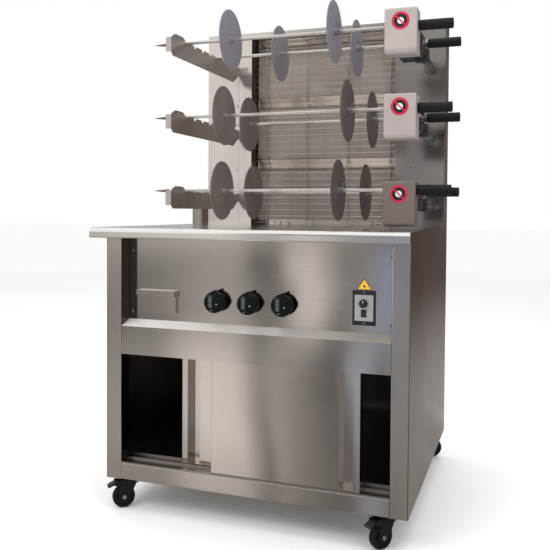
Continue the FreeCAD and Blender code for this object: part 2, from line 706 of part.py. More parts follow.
# ---------------------------------------------------------------- spits
def sprocket(y, z):
    """Toothed wheel and its hub, keyed on the spit in the plane of the chain."""
    hub_x0 = CARRIER_X[1] + 2
    hub_x1 = HANDLE_X0 - 1
    wheel = rod((CHAIN_X - SPROCKET_W / 2, y, z), SPROCKET_W, SPROCKET_R, X_AXIS)
    seats = []
    for index in range(SPROCKET_TEETH):
        angle = 2 * math.pi * index / SPROCKET_TEETH
        seats.append(rod((CHAIN_X - SPROCKET_W, y + CHAIN_R * math.cos(angle),
                          z + CHAIN_R * math.sin(angle)), 2 * SPROCKET_W, CHAIN_ROLLER_R, X_AXIS))
    hub = rod((hub_x0, y, z), hub_x1 - hub_x0, 11.0, X_AXIS)
    bore = rod((hub_x0 - 1, y, z), 2 * (hub_x1 - hub_x0), SPIT_R, X_AXIS)
    return take_away(join([take_away(wheel, seats), hub]), [bore])


def spit(level, row):
    """Pointed rod with its fixed disc, and the sprocket as a second solid."""
    y, z = ROW_Y[row], LEVEL_Z[level]
    tip = Part.makeCone(0.8, SPIT_R, SPIT_TIP_LEN, Vector(SPIT_TIP_X, y, z), X_AXIS)
    start = SPIT_TIP_X + SPIT_TIP_LEN
    shaft = rod((start, y, z), HANDLE_X1 - GRIP_END - start, SPIT_R, X_AXIS)
    disc_x = FIXED_DISC_X[level][row]
    disc = rod((disc_x - DISC_T / 2, y, z), DISC_T, DISC_R, X_AXIS)
    boss = rod((disc_x - 9, y, z), 18, 10.0, X_AXIS)
    return group([join([tip, shaft, disc, boss]), sprocket(y, z)])


def spit_handle(level, row):
    """Turned grip pressed on the end of the spit, with finger grooves."""
    y, z = ROW_Y[row], LEVEL_Z[level]
    length = HANDLE_X1 - HANDLE_X0
    grip = rod((HANDLE_X0, y, z), length, HANDLE_R, X_AXIS)
    ends = [edge for edge in grip.Edges if not is_along(edge, X_AXIS)]
    grip = grip.makeFillet(3.0, ends)
    grooves = []
    for index in range(4):
        x = HANDLE_X0 + 26 + index * 24
        grooves.append(ring((x, y, z), 2.0, HANDLE_R + 1, HANDLE_R - 1, X_AXIS))
    bore = rod((HANDLE_X0 - 1, y, z), length - GRIP_END + 1, SPIT_R, X_AXIS)
    return take_away(grip, grooves + [bore])


def sliding_disc(level, row):
    """Disc with a collar that slides on the spit, and the thumb screw that locks it."""
    y, z = ROW_Y[row], LEVEL_Z[level]
    x = SLIDING_DISC_X[level][row]
    disc = rod((x - DISC_T / 2, y, z), DISC_T, DISC_R, X_AXIS)
    collar = rod((x, y, z), 22, 12.0, X_AXIS)
    body = join([disc, collar])
    screw_x = x + 14
    bore = rod((x - 10, y, z), 60, SPIT_R + RUNNING_GAP, X_AXIS)
    tapped = rod((screw_x, y, z), 20, 3.0, Z_AXIS)
    screw = rod((screw_x, y, z + SPIT_R + FREE_GAP), 16, 3.0, Z_AXIS)
    wing = block(screw_x - 9, screw_x + 9, y - 2, y + 2, z + 21, z + 33)
    return group([take_away(body, [bore, tapped]), join([screw, wing])])


# ---------------------------------------------------------------- controls
def gas_knob(x):
    """Round knob with a nose at its right, a pointer on top and a stem at its back."""
    back = PANEL_Y - 2.0
    skirt_y = back - KNOB_SKIRT
    body = rod((x, KNOB_FRONT, KNOB_Z), back - KNOB_FRONT, KNOB_R, Y_AXIS)
    rims = [edge for edge in body.Edges if not is_along(edge, Y_AXIS)]
    body = body.makeFillet(3.0, rims)
    flat = block(x - KNOB_R, x - KNOB_R * 0.45, KNOB_FRONT - 1, KNOB_FRONT + 3,
                 KNOB_Z - KNOB_R, KNOB_Z + KNOB_R)
    tangent = math.acos(KNOB_R / KNOB_NOSE)
    side_x, side_z = KNOB_R * math.cos(tangent), KNOB_R * math.sin(tangent)
    nose = prism([(x, KNOB_FRONT + 6, KNOB_Z), (x + side_x, KNOB_FRONT + 6, KNOB_Z - side_z),
                  (x + KNOB_NOSE, KNOB_FRONT + 6, KNOB_Z),
                  (x + side_x, KNOB_FRONT + 6, KNOB_Z + side_z)],
                 (0, skirt_y - KNOB_FRONT, 0))
    pointer = prism([(x - 9, skirt_y, KNOB_Z + KNOB_R - 4), (x + 7, skirt_y, KNOB_Z + KNOB_R - 4),
                     (x + 9, skirt_y, KNOB_Z + KNOB_R + 7)], (0, KNOB_SKIRT - 2, 0))
    stem = rod((x, back, KNOB_Z), STEM_LEN, STEM_R, Y_AXIS)
    return join([body.cut(flat), nose, pointer, stem])


def speed_knob():
    """Small turning knob with a raised line and a stem through the panel."""
    x, z = SPEED_KNOB_AT
    depth = 12.0
    front = PANEL_Y - 17
    cap = Part.makeCone(10.0, 12.5, depth, Vector(x, front, z), Y_AXIS)
    mark = block(x - 1, x + 1, front - 1, front + 1, z, z + 9)
    stem = rod((x, front + depth, z), depth, SPEED_STEM_R, Y_AXIS)
    return join([cap, mark, stem])


def rocker_switch():
    """Rocker with its two faces meeting at a shallow angle, pressed at its upper end."""
    x, z = ROCKER_AT
    half_w, half_h = ROCKER_HALF
    back, middle, tip = ROCKER_PIVOT_Y + 3, ROCKER_PIVOT_Y - 5, ROCKER_PIVOT_Y - 7
    outline = [
        (x - half_w, back, z - half_h), (x - half_w, back, z + half_h),
        (x - half_w, tip, z + half_h), (x - half_w, middle, z), (x - half_w, tip, z - half_h),
    ]
    cap = prism(outline, (2 * half_w, 0, 0))
    cap.rotate(Vector(x, ROCKER_PIVOT_Y, z), X_AXIS, -ROCKER_TILT)
    pins = rod((x - half_w - ROCKER_PIN_OUT, ROCKER_PIVOT_Y, z),
               2 * (half_w + ROCKER_PIN_OUT), ROCKER_PIN_R, X_AXIS)
    return join([cap, pins])


def electric_plate():
    """Bezel and inlay of the switch plate, with the speed control's box behind."""
    x0, x1 = PLATE_X
    z0, z1 = PLATE_Z
    side_border, end_border = 6.5, 13.0
    face = PANEL_Y - PLATE_BEZEL
    rocker_gap = (1.0, 2.0)
    pin_reach = ROCKER_HALF[0] + ROCKER_PIN_OUT + FREE_GAP
    openings = [
        rod((SPEED_KNOB_AT[0], PANEL_Y - 20, SPEED_KNOB_AT[1]), 30, SPEED_STEM_R + 1, Y_AXIS),
        block(ROCKER_AT[0] - ROCKER_HALF[0] - rocker_gap[0],
              ROCKER_AT[0] + ROCKER_HALF[0] + rocker_gap[0], PANEL_Y - 20, PANEL_Y + 10,
              ROCKER_AT[1] - ROCKER_HALF[1] - rocker_gap[1],
              ROCKER_AT[1] + ROCKER_HALF[1] + rocker_gap[1]),
        rod((ROCKER_AT[0] - pin_reach, ROCKER_PIVOT_Y, ROCKER_AT[1]), 2 * pin_reach,
            ROCKER_PIN_R + RUNNING_GAP, X_AXIS),
    ]
    inlay = block(x0 + side_border, x1 - side_border, face - 0.5, face + 2,
                  z0 + end_border, z1 - end_border)
    bezel = take_away(block(x0, x1, face, PANEL_Y, z0, z1), [inlay] + openings)
    box_x = (x0 + 8, x1 - 8)
    box_z = (z0 + 10, z1 - 10)
    box_y = (PANEL_Y + 8, PANEL_Y + 35)
    socket = rod((SPEED_KNOB_AT[0], PANEL_Y, SPEED_KNOB_AT[1]), 20, SPEED_STEM_R + 1, Y_AXIS)
    box = block(*box_x, *box_y, *box_z).cut(socket)
    lug = 6.0
    lugs = [block(*box_x, PANEL_Y + SKIN, box_y[0], z, z + lug)
            for z in (box_z[0], box_z[1] - lug)]
    return group([bezel, take_away(inlay, openings), join([box] + lugs)])


def drip_drawer():
    """Drawer front with a hooked pull lip, and the open tray behind it."""
    x0, x1 = DRAWER_X
    z0, z1 = DRAWER_Z
    back = PANEL_Y - FREE_GAP
    front = back - 10
    lip_y = PANEL_Y - LIP_REACH
    lip_z = z1 - LIP_DROP
    face = block(x0, x1, front, back, z0, z1)
    top = block(x0, x1, lip_y, front, z1 - SKIN, z1)
    lip = block(x0, x1, lip_y, lip_y + SKIN, lip_z, z1)
    gusset = prism([(x1 - SKIN, front, z1), (x1 - SKIN, lip_y, z1), (x1 - SKIN, lip_y, lip_z),
                    (x1 - SKIN, front, lip_z - 11)], (SKIN, 0, 0))
    tray_x = (x0 + TRAY_INSET, x1 - TRAY_INSET)
    tray_z = (z0 + TRAY_LIFT, z1 - 12)
    tray = block(*tray_x, back - 1, TRAY_BACK, *tray_z)
    tray = tray.cut(block(tray_x[0] + SKIN, tray_x[1] - SKIN, back + SKIN,
                          TRAY_BACK - SKIN, tray_z[0] + SKIN, tray_z[1] + 1))
    return join([face, top, lip, gusset, tray])


def drawer_runners():
    """Two angle runners behind the panel that carry the tray."""
    runners = []
    under_tray = DRAWER_Z[0] + TRAY_LIFT - FREE_GAP
    outer, inward, height = 6.0, 8.0, 32.0
    for x, side in ((DRAWER_X[0] + TRAY_INSET, -1), (DRAWER_X[1] - TRAY_INSET, 1)):
        shelf_x = sorted((x - side * inward, x + side * outer))
        wall_x = sorted((x + side * (outer - SKIN), x + side * outer))
        shelf = block(*shelf_x, PANEL_Y + SKIN, TRAY_BACK, under_tray - SKIN, under_tray)
        wall = block(*wall_x, PANEL_Y + SKIN, TRAY_BACK, under_tray - SKIN,
                     under_tray - SKIN + height)
        runners.append(join([shelf, wall]))
    return group(runners)


def gas_manifold():
    """Gas rail with three valves, the inlet pipe to the back and a riser per burner."""
    fitting = 40.0
    rail_start = KNOB_X[0] - fitting
    rail = pipe_run([(rail_start, MANIFOLD_Y, KNOB_Z), (INLET_X, MANIFOLD_Y, KNOB_Z),
                     (INLET_X, CABINET_D - fitting, KNOB_Z)], PIPE_R, PIPE_R + 4)
    inlet = join([rod((INLET_X, CABINET_D - fitting, KNOB_Z), fitting, PIPE_R, Y_AXIS),
                  rod((INLET_X, CABINET_D, KNOB_Z), INLET_STUB, INLET_R, Y_AXIS)])
    pieces = rail + [inlet]
    valve_front = PANEL_Y + SKIN + 4
    valve_length = MANIFOLD_Y - PIPE_R - valve_front + 2
    tee_offset = 22.0
    for index, x in enumerate(KNOB_X):
        valve = rod((x, valve_front, KNOB_Z), valve_length, 13.0, Y_AXIS)
        socket = rod((x, valve_front - 1, KNOB_Z), STEM_LEN - 4, STEM_R + RUNNING_GAP, Y_AXIS)
        pieces.append(take_away(valve, [socket] + rail))
        tee_x = x + tee_offset
        low_z = KNOB_Z + 40 + 22 * index
        top_z = BURNER_INLET_Z[-1 - index]
        riser = pipe_run([(tee_x, MANIFOLD_Y, KNOB_Z + PIPE_R - 1),
                          (tee_x, MANIFOLD_Y, low_z), (tee_x, RISER_Y, low_z),
                          (RISER_X[index], RISER_Y, low_z), (RISER_X[index], RISER_Y, top_z),
                          (RECESS_RIGHT - 6, RISER_Y, top_z)], RISER_R, ELBOW_R)
        riser[0] = take_away(riser[0], rail)
        pieces.extend(riser)
    return group(pieces)


# ---------------------------------------------------------------- casters
def caster_axis(side, end):
    x = CASTER_INSET_X if side == 0 else CABINET_W - CASTER_INSET_X
    y = CASTER_INSET_Y if end == 0 else CABINET_D - CASTER_INSET_Y
    return x, y


def turn_about(shape, x, y, angle):
    shape.rotate(Vector(x, y, 0), Z_AXIS, angle)
    return shape


def caster_plates():
    """Top plate of each caster with its fixed, headed kingpin, bolted to the frame."""
    plates = []
    head_top = CROWN_TOP - CROWN_T - FREE_GAP
    head_t = 3.5
    for _, side, end, _ in CASTERS:
        x, y = caster_axis(side, end)
        half_x, half_y = PLATE_HALF
        plate = block(x - half_x, x + half_x, y - half_y, y + half_y, BASE_Z - PLATE_T, BASE_Z)
        cup = rod((x, y, BASE_Z - PLATE_T - CUP_DEPTH), CUP_DEPTH, 24.0, Z_AXIS)
        pin = rod((x, y, head_top - 1), BASE_Z - PLATE_T - head_top, KINGPIN_R, Z_AXIS)
        head = rod((x, y, head_top - head_t), head_t, 9.0, Z_AXIS)
        plates.append(join([plate, cup, pin, head]))
    return group(plates)


def caster_fork(side, end, angle):
    """Swivel fork: crown, legs and axle; the front ones also carry the pedal's pin."""
    x, y = caster_axis(side, end)
    crown = rod((x, y, CROWN_TOP - CROWN_T), CROWN_T, CROWN_R, Z_AXIS)
    pin_hole = rod((x, y, 0), BASE_Z, KINGPIN_R + RUNNING_GAP, Z_AXIS)
    axle_x = x + TRAIL
    leg_in = WHEEL_W / 2 + LEG_GAP
    leg_out = leg_in + LEG_T
    outline = [(x - 20, CROWN_TOP), (x + 24, CROWN_TOP)]
    pivot_x = x + PEDAL_REACH
    rods = [rod((axle_x, y - leg_out - 3, WHEEL_R), 2 * leg_out + 6, AXLE_R, Y_AXIS)]
    if end == 0:
        outline += [(pivot_x + 7, CROWN_TOP - 2), (pivot_x + 7, PEDAL_Z - 6),
                    (pivot_x - 14, PEDAL_Z - 12)]
        rods.append(rod((pivot_x, y - leg_out, PEDAL_Z), 2 * leg_out, PEDAL_PIN_R, Y_AXIS))
    outline += [(axle_x + 21, WHEEL_R + 14), (axle_x + 17, WHEEL_R - 4),
                (axle_x + 9, WHEEL_R - 13), (axle_x - 9, WHEEL_R - 13),
                (axle_x - 18, WHEEL_R - 4)]
    legs = [prism([(px, y + sign * leg_in, pz) for px, pz in outline], (0, sign * LEG_T, 0))
            for sign in (-1, 1)]
    bridge = block(x - 20, x + 20, y - leg_out, y + leg_out,
                   CROWN_TOP - CROWN_T, CROWN_TOP - CROWN_T + LEG_T)
    fork = take_away(join([crown, bridge] + legs + rods), [pin_hole])
    return turn_about(fork, x, y, angle)


def caster_wheel(side, end, angle):
    """Wheel with a rounded tread and dished faces, running on the fork's axle."""
    x, y = caster_axis(side, end)
    axle_x = x + TRAIL
    tread_r, dish_depth, dish_r = 4.0, 4.0, WHEEL_R - 12
    wheel = rod((axle_x, y - WHEEL_W / 2, WHEEL_R), WHEEL_W, WHEEL_R, Y_AXIS)
    rims = [edge for edge in wheel.Edges if not is_along(edge, Y_AXIS)]
    wheel = wheel.makeFillet(tread_r, rims)
    dishes = [rod((axle_x, y - WHEEL_W / 2, WHEEL_R), dish_depth, dish_r, Y_AXIS),
              rod((axle_x, y + WHEEL_W / 2 - dish_depth, WHEEL_R), dish_depth, dish_r, Y_AXIS)]
    hub = rod((axle_x, y - WHEEL_W / 2 - 1, WHEEL_R), WHEEL_W + 2, 10, Y_AXIS)
    bore = rod((axle_x, y - WHEEL_W, WHEEL_R), 2 * WHEEL_W, AXLE_R + RUNNING_GAP, Y_AXIS)
    wheel = take_away(join([take_away(wheel, dishes), hub]), [bore])
    return turn_about(wheel, x, y, angle)


def brake_pedal(side, end, angle):
    """Foot lever over the wheel, hinged on a pin between the fork's ears."""
    x, y = caster_axis(side, end)
    pivot_x = x + PEDAL_REACH
    half = WHEEL_W / 2 + 1.0
    profile = [(-6, -6), (5, -6), (32, -16), (38, -11), (35, -5), (6, 6), (-6, 6)]
    lever = prism([(pivot_x + dx, y - half, PEDAL_Z + dz) for dx, dz in profile],
                  (0, 2 * half, 0))
    bore = rod((pivot_x, y - 2 * half, PEDAL_Z), 4 * half, PEDAL_PIN_R + RUNNING_GAP, Y_AXIS)
    return turn_about(lever.cut(bore), x, y, angle)


# ---------------------------------------------------------------- fasteners
def cap_screw(x, y, z, radius, height, axis):
    """Domed screw head standing on a face, with its shank through what lies behind."""
    head = Part.makeCone(radius, radius * 0.6, height, Vector(x, y, z), axis)
    shank = Part.makeCylinder(radius * 0.4, SHANK, Vector(x, y, z) - axis * SHANK, axis)
    return join([head, shank])


def fasteners():
    """All the screws, as one group."""
    forward = Vector(0, -1, 0)
    down = Vector(0, 0, -1)
    screws = [cap_screw(SEAM_X - 8, HOUSING_Y, z, 4.0, 2.0, forward) for z in SEAM_SCREW_Z]
    screws.append(cap_screw(COLUMN_BOLT[0], HOUSING_Y, COLUMN_BOLT[1], 5.5, 5.0, forward))
    for x in (INNER_LEFT + 12, INNER_RIGHT - 12):
        for z in PANEL_SCREW_Z:
            screws.append(cap_screw(x, PANEL_Y, z, 4.0, 2.5, forward))
    plate_mid = (PLATE_X[0] + PLATE_X[1]) / 2
    for z in (PLATE_Z[0] + 6, PLATE_Z[1] - 6):
        screws.append(cap_screw(plate_mid, PANEL_Y - 4, z, 3.0, 1.5, forward))
    for level_z in LEVEL_Z:
        for z in (level_z - 20, level_z - 2):
            screws.append(cap_screw(SEAM_X + 28, HOUSING_Y - ARM_T, z, 4.0, 3.0, forward))
    for _, side, end, _ in CASTERS:
        x, y = caster_axis(side, end)
        for dx in (-BOLT_OFFSET[0], BOLT_OFFSET[0]):
            for dy in (-BOLT_OFFSET[1], BOLT_OFFSET[1]):
                screws.append(cap_screw(x + dx, y + dy, BASE_Z - PLATE_T, 5.0, 4.0, down))
    return group(screws)


def drill_for_screws(nodes):
    """Cut each screw's hole in the pieces that it passes through."""
    screwed = ("cabinet_frame", "control_panel", "electric_plate", "housing_columns",
               "spit_arms", "caster_plates")
    for name in screwed:
        nodes[name] = nodes[name].cut(nodes["fasteners"])


def all_nodes():
    nodes = {
        "cabinet_frame": cabinet_frame(),
        "side_panels": side_panels(),
        "back_panel": back_panel(),
        "cabinet_floor": cabinet_floor(),
        "countertop": countertop(),
        "control_panel": control_panel(),
        "fascia": fascia(),
        "door_tracks": door_tracks(),
        "front_door": front_door(),
        "rear_door": rear_door(),
        "housing_columns": housing_columns(),
        "housing_shell": housing_shell(),
        "burner_bodies": burner_bodies(),
        "burner_plaques": burner_plaques(),
        "burner_guard": burner_guard(),
        "spit_arms": spit_arms(),
        "support_tubes": support_tubes(),
        "drive_carriers": drive_carriers(),
        "gear_motors": gear_motors(),
        "drive_hoods": drive_hoods(),
        "drive_chains": drive_chains(),
        "electric_plate": electric_plate(),
        "speed_knob": speed_knob(),
        "rocker_switch": rocker_switch(),
        "drip_drawer": drip_drawer(),
        "drawer_runners": drawer_runners(),
        "gas_manifold": gas_manifold(),
        "caster_plates": caster_plates(),
        "fasteners": fasteners(),
    }
    drill_for_screws(nodes)
    for number, x in enumerate(KNOB_X, start=1):
        nodes[f"gas_knob_{number}"] = gas_knob(x)
    for level, level_name in enumerate(LEVEL_NAMES):
        for row, row_name in enumerate(ROW_NAMES):
            place = f"{level_name}_{row_name}"
            nodes[f"spit_{place}"] = spit(level, row)
            nodes[f"spit_handle_{place}"] = spit_handle(level, row)
            nodes[f"sliding_disc_{place}"] = sliding_disc(level, row)
    for name, side, end, angle in CASTERS:
        nodes[f"caster_fork_{name}"] = caster_fork(side, end, angle)
        nodes[f"caster_wheel_{name}"] = caster_wheel(side, end, angle)
        if end == 0:
            nodes[f"brake_pedal_{name}"] = brake_pedal(side, end, angle)
    return nodes


def main():
    os.makedirs("parts", exist_ok=True)
    centre = Vector((COUNTER_LEFT + HANDLE_X1) / 2,
                    (COUNTER_FRONT + CABINET_D + INLET_STUB) / 2, 0)
    for name, shape in all_nodes().items():
        moved = shape.copy()
        moved.translate(-centre)
        moved.exportStep(f"parts/{name}.step")
    print("origin is at", centre, "in cabinet coordinates")


main()
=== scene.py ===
import json
import math

import bmesh
import bpy
from mathutils import Matrix, Vector


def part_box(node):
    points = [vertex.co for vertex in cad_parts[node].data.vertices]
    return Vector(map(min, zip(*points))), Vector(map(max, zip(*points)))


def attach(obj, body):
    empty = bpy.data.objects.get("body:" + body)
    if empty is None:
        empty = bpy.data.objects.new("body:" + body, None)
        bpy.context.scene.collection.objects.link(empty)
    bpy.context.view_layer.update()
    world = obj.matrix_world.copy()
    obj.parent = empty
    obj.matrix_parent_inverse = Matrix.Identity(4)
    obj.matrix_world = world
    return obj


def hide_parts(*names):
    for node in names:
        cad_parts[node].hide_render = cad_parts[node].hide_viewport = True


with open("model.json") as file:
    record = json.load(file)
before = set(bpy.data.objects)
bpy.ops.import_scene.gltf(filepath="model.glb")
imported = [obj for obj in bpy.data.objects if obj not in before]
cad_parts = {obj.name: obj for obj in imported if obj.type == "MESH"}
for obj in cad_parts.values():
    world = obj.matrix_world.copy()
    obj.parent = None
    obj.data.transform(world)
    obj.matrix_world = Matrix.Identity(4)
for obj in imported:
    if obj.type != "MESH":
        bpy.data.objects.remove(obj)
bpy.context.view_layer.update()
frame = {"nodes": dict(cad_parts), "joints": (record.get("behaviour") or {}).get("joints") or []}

MM = 0.001
FULL_TURN = 2 * math.pi
LEVELS = ("low", "middle", "top")
PLACES = tuple(f"{level}_{row}" for level in LEVELS for row in ("front", "rear"))
CASTERS = ("front_left", "front_right", "rear_left", "rear_right")
X_AXIS, Y_AXIS, Z_AXIS = Vector((1, 0, 0)), Vector((0, 1, 0)), Vector((0, 0, 1))

# linear colours
WARM_STEEL = (0.63, 0.595, 0.565)
DOOR_STEEL = (0.66, 0.615, 0.575)
NEAR_BLACK = (0.012, 0.013, 0.014)
BURNT_FAT = (0.14, 0.105, 0.08)
LABEL_WHITE = (0.72, 0.72, 0.70)
SIGN_RED = (0.50, 0.010, 0.045)
SIGN_YELLOW = (0.80, 0.48, 0.02)


# ---- reading the frame
def span_of(name):
    """Lowest corner, highest corner and centre of a CAD node."""
    low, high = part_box(name)
    return low, high, (low + high) / 2


def joint_line(name):
    """A point on a joint's axis, and the direction of the axis."""
    joint = next(joint for joint in frame["joints"] if joint["name"] == name)
    return Vector(joint["pos_m"]), Vector(joint["axis"]).normalized()


def islands(node_name):
    """Lowest and highest corner of each separate solid in a CAD node."""
    mesh = bmesh.new()
    mesh.from_mesh(frame["nodes"][node_name].data)
    bmesh.ops.remove_doubles(mesh, verts=mesh.verts, dist=0.000005)
    waiting, found = dict.fromkeys(mesh.verts), []
    while waiting:
        stack = [next(iter(waiting))]
        low = high = stack[0].co.copy()
        del waiting[stack[0]]
        while stack:
            here = stack.pop()
            low, high = Vector(map(min, low, here.co)), Vector(map(max, high, here.co))
            for edge in here.link_edges:
                there = edge.other_vert(here)
                if there in waiting:
                    del waiting[there]
                    stack.append(there)
        found.append((low, high))
    mesh.free()
    return found


# ---- camera and light
def show(made):
    """Put an object into the scene."""
    bpy.context.scene.collection.objects.link(made)


def make_camera():
    """Standing at the right of the front, a little over counter height."""
    place = Vector((0.8030, -2.5764, 0.9967))
    turn_x, turn_y, turn_z = -0.0293, -0.0064, 0.3434
    turned = (Matrix.Rotation(turn_z, 3, "Z") @ Matrix.Rotation(turn_x, 3, "X")
              @ Matrix.Rotation(turn_y, 3, "Y"))
    right, forward, up = turned.col
    data = bpy.data.cameras.new("camera")
    data.sensor_width = 36.0
    data.lens = 47.9
    data.shift_x = 0.0146
    data.shift_y = -0.0779
    data.clip_end = 100.0
    camera = bpy.data.objects.new("camera", data)
    axes = Matrix((right, up, -forward)).transposed().to_4x4()
    camera.matrix_world = Matrix.Translation(place) @ axes
    show(camera)
    bpy.context.scene.camera = camera


def area_light(name, place, target, size, power, colour=(1, 1, 1)):
    data = bpy.data.lights.new(name, "AREA")
    data.shape = "RECTANGLE"
    data.size, data.size_y = size
    data.energy = power
    data.color = colour
    light = bpy.data.objects.new(name, data)
    light.location = place
    aim = Vector(target) - Vector(place)
    light.rotation_euler = aim.to_track_quat("-Z", "Y").to_euler()
    light.visible_glossy = False
    show(light)


def make_lights():
    area_light("key", (-1.6, -3.2, 3.4), (0, 0, 0.9), (2.4, 1.6), 60.0, (1.0, 0.97, 0.93))
    area_light("fill", (3.0, -2.2, 2.0), (0, 0, 0.9), (1.6, 2.4), 16.0, (0.93, 0.96, 1.0))
    area_light("top", (0.2, -0.6, 3.6), (0, 0, 0.9), (2.6, 2.0), 34.0, (1.0, 0.99, 0.97))
    area_light("back", (0.6, 3.4, 2.8), (0, 0, 1.0), (3.0, 1.6), 30.0)


def make_world():
    world = bpy.data.worlds.new("studio")
    world.use_nodes = True
    background = world.node_tree.nodes["Background"]
    background.inputs["Color"].default_value = (1.0, 1.0, 1.0, 1.0)
    bpy.context.scene.world = world


# ---- node helper
class Nodes:
    """Short way to write a material's nodes."""

    def __init__(self, name):
        self.material = bpy.data.materials.new(name)
        self.material.use_nodes = True
        self.tree = self.material.node_tree
        self.shader = self.tree.nodes["Principled BSDF"]

    def add(self, kind, inputs=(), **properties):
        """New node, each of its inputs given as a value or as another node's output."""
        node = self.tree.nodes.new("ShaderNode" + kind)
        for key, value in properties.items():
            setattr(node, key, value)
        for key, value in dict(inputs).items():
            if isinstance(value, bpy.types.NodeSocket):
                self.tree.links.new(value, node.inputs[key])
            else:
                node.inputs[key].default_value = value
        return node

    def link(self, source, name):
        self.tree.links.new(source, self.shader.inputs[name])

    def place(self, scale=(1, 1, 1)):
        """Object coordinates in metres, scaled per axis."""
        coordinates = self.add("TexCoord").outputs["Object"]
        return self.add("Mapping", {"Vector": coordinates, "Scale": scale}).outputs[0]

    def axes(self, vector):
        """The X, Y and Z sockets of a vector."""
        return self.add("SeparateXYZ", {0: vector}).outputs

    def noise(self, scale, detail=2.0, roughness=0.5, stretch=(1, 1, 1)):
        return self.add("TexNoise", {
            "Vector": self.place(stretch), "Scale": scale, "Detail": detail,
            "Roughness": roughness}).outputs["Fac"]

    def spread(self, value, low, high, from_low=0.3, from_high=0.7):
        """Map a noise value from its usual span onto low to high."""
        return self.add("MapRange", {
            "Value": value, "From Min": from_low, "From Max": from_high,
            "To Min": low, "To Max": high}).outputs["Result"]

    def math(self, operation, first, second=0.0):
        return self.add("Math", {0: first, 1: second}, operation=operation).outputs[0]

    def times(self, first, second):
        return self.math("MULTIPLY", first, second)

    def plus(self, first, second):
        return self.math("ADD", first, second)

    def length(self, across, up):
        squares = self.plus(self.times(across, across), self.times(up, up))
        return self.math("SQRT", squares)

    def sideways(self, normal):
        """1 where a surface faces left or right."""
        return self.math("GREATER_THAN", self.math("ABSOLUTE", self.axes(normal)[0]), 0.7)

    def mix(self, factor, first, second):
        """Blend two colours, each a tuple or a socket."""
        first, second = (value if isinstance(value, bpy.types.NodeSocket) else (*value, 1.0)
                         for value in (first, second))
        return self.add("Mix", {0: factor, 6: first, 7: second}, data_type="RGBA").outputs[2]

    def ramp(self, value, stops):
        """Colour ramp through (position, colour) stops."""
        node = self.add("ValToRGB", {0: value})
        bar = node.color_ramp
        bar.elements.remove(bar.elements[-1])
        bar.elements[0].color = (*stops[0][1], 1.0)
        for position, colour in stops[1:]:
            bar.elements.new(position).color = (*colour, 1.0)
        return node.outputs[0]

    def bump(self, height, strength, distance, below=None):
        """Normals for a height, on top of the normals of another bump if one is given."""
        inputs = {"Height": height, "Strength": strength, "Distance": distance}
        if below is not None:
            inputs["Normal"] = below
        return self.add("Bump", inputs).outputs[0]

    def finish(self, colour, rough, normal, **constants):
        """Link the three main sockets and set constants, named with _ for a space."""
        self.link(colour, "Base Color")
        self.link(rough, "Roughness")
        self.link(normal, "Normal")
        for name, value in constants.items():
            self.shader.inputs[name.replace("_", " ")].default_value = value
        return self.material


def scaled(colour, factor):
    return tuple(channel * factor for channel in colour)


# ---- materials
def sheet_steel(name, colour, roughness, along="X", waviness=0.35, dirt=0.12,
                anisotropy=0.6, streak=0.14, painted_ledge_highlight=False, painted_shade_inside=False):
    """Brushed stainless sheet: fine grain, slow waves of the sheet, smears and grime; on request
    painted shade on inside faces and a painted highlight on the ledge.
    """
    n = Nodes(name)
    fine, coarse = [1100.0] * 3, [170.0] * 3
    fine["XYZ".index(along)] = 7.0
    coarse["XYZ".index(along)] = 1.5
    grain = n.noise(1.0, 2.0, 0.6, fine)
    streaks = n.noise(1.0, 3.0, 0.6, coarse)
    smears = n.noise(3.2, 4.0, 0.6)
    slow = n.noise(1.7, 1.0, 0.4, (1.0, 1.0, 0.5))
    base = n.mix(n.spread(smears, 0.0, 1.0), scaled(colour, 0.95), scaled(colour, 1.04))
    base = n.mix(n.spread(streaks, 0.0, streak), base, scaled(colour, 0.80))
    base = n.mix(n.spread(smears, 0.0, dirt, 0.55, 0.80), base, (0.20, 0.165, 0.135))
    rough = n.plus(n.spread(grain, -0.02, 0.02),
                   n.spread(smears, roughness - 0.02, roughness + 0.04))
    normal = n.add("NewGeometry").outputs["True Normal"]
    across = n.axes(n.place())[0]
    if painted_shade_inside:
        # painted shade: faces turned left or right between the front posts are painted near black
        between_posts = 0.462
        within = n.math("LESS_THAN", n.math("ABSOLUTE", across), between_posts)
        base = n.mix(n.times(n.sideways(normal), within), base, (0.085, 0.078, 0.072))
    if painted_ledge_highlight:
        # painted highlight: the upward face of the ledge is painted light at its left end, fading
        # to dull at the right, and made less metallic so the lamps light it
        bright_end, dull_end = -0.40, 0.30
        ledge = n.math("GREATER_THAN", n.axes(normal)[2], 0.5)
        shine = n.mix(n.spread(across, 0.0, 1.0, bright_end, dull_end), (0.92, 0.90, 0.88),
                      (0.36, 0.33, 0.31))
        base = n.mix(ledge, base, shine)
        rough = n.plus(rough, n.times(ledge, 0.28))
        n.link(n.math("SUBTRACT", 1.0, n.times(ledge, 0.7)), "Metallic")
    n.link(n.add("CombineXYZ", {"X": 0.06, "Y": 0.04, "Z": 1.0}).outputs[0], "Tangent")
    waves = n.bump(slow, waviness, 0.006)
    return n.finish(base, rough, n.bump(grain, 0.02, 0.0001, waves), Metallic=1.0,
                    Anisotropic=anisotropy)


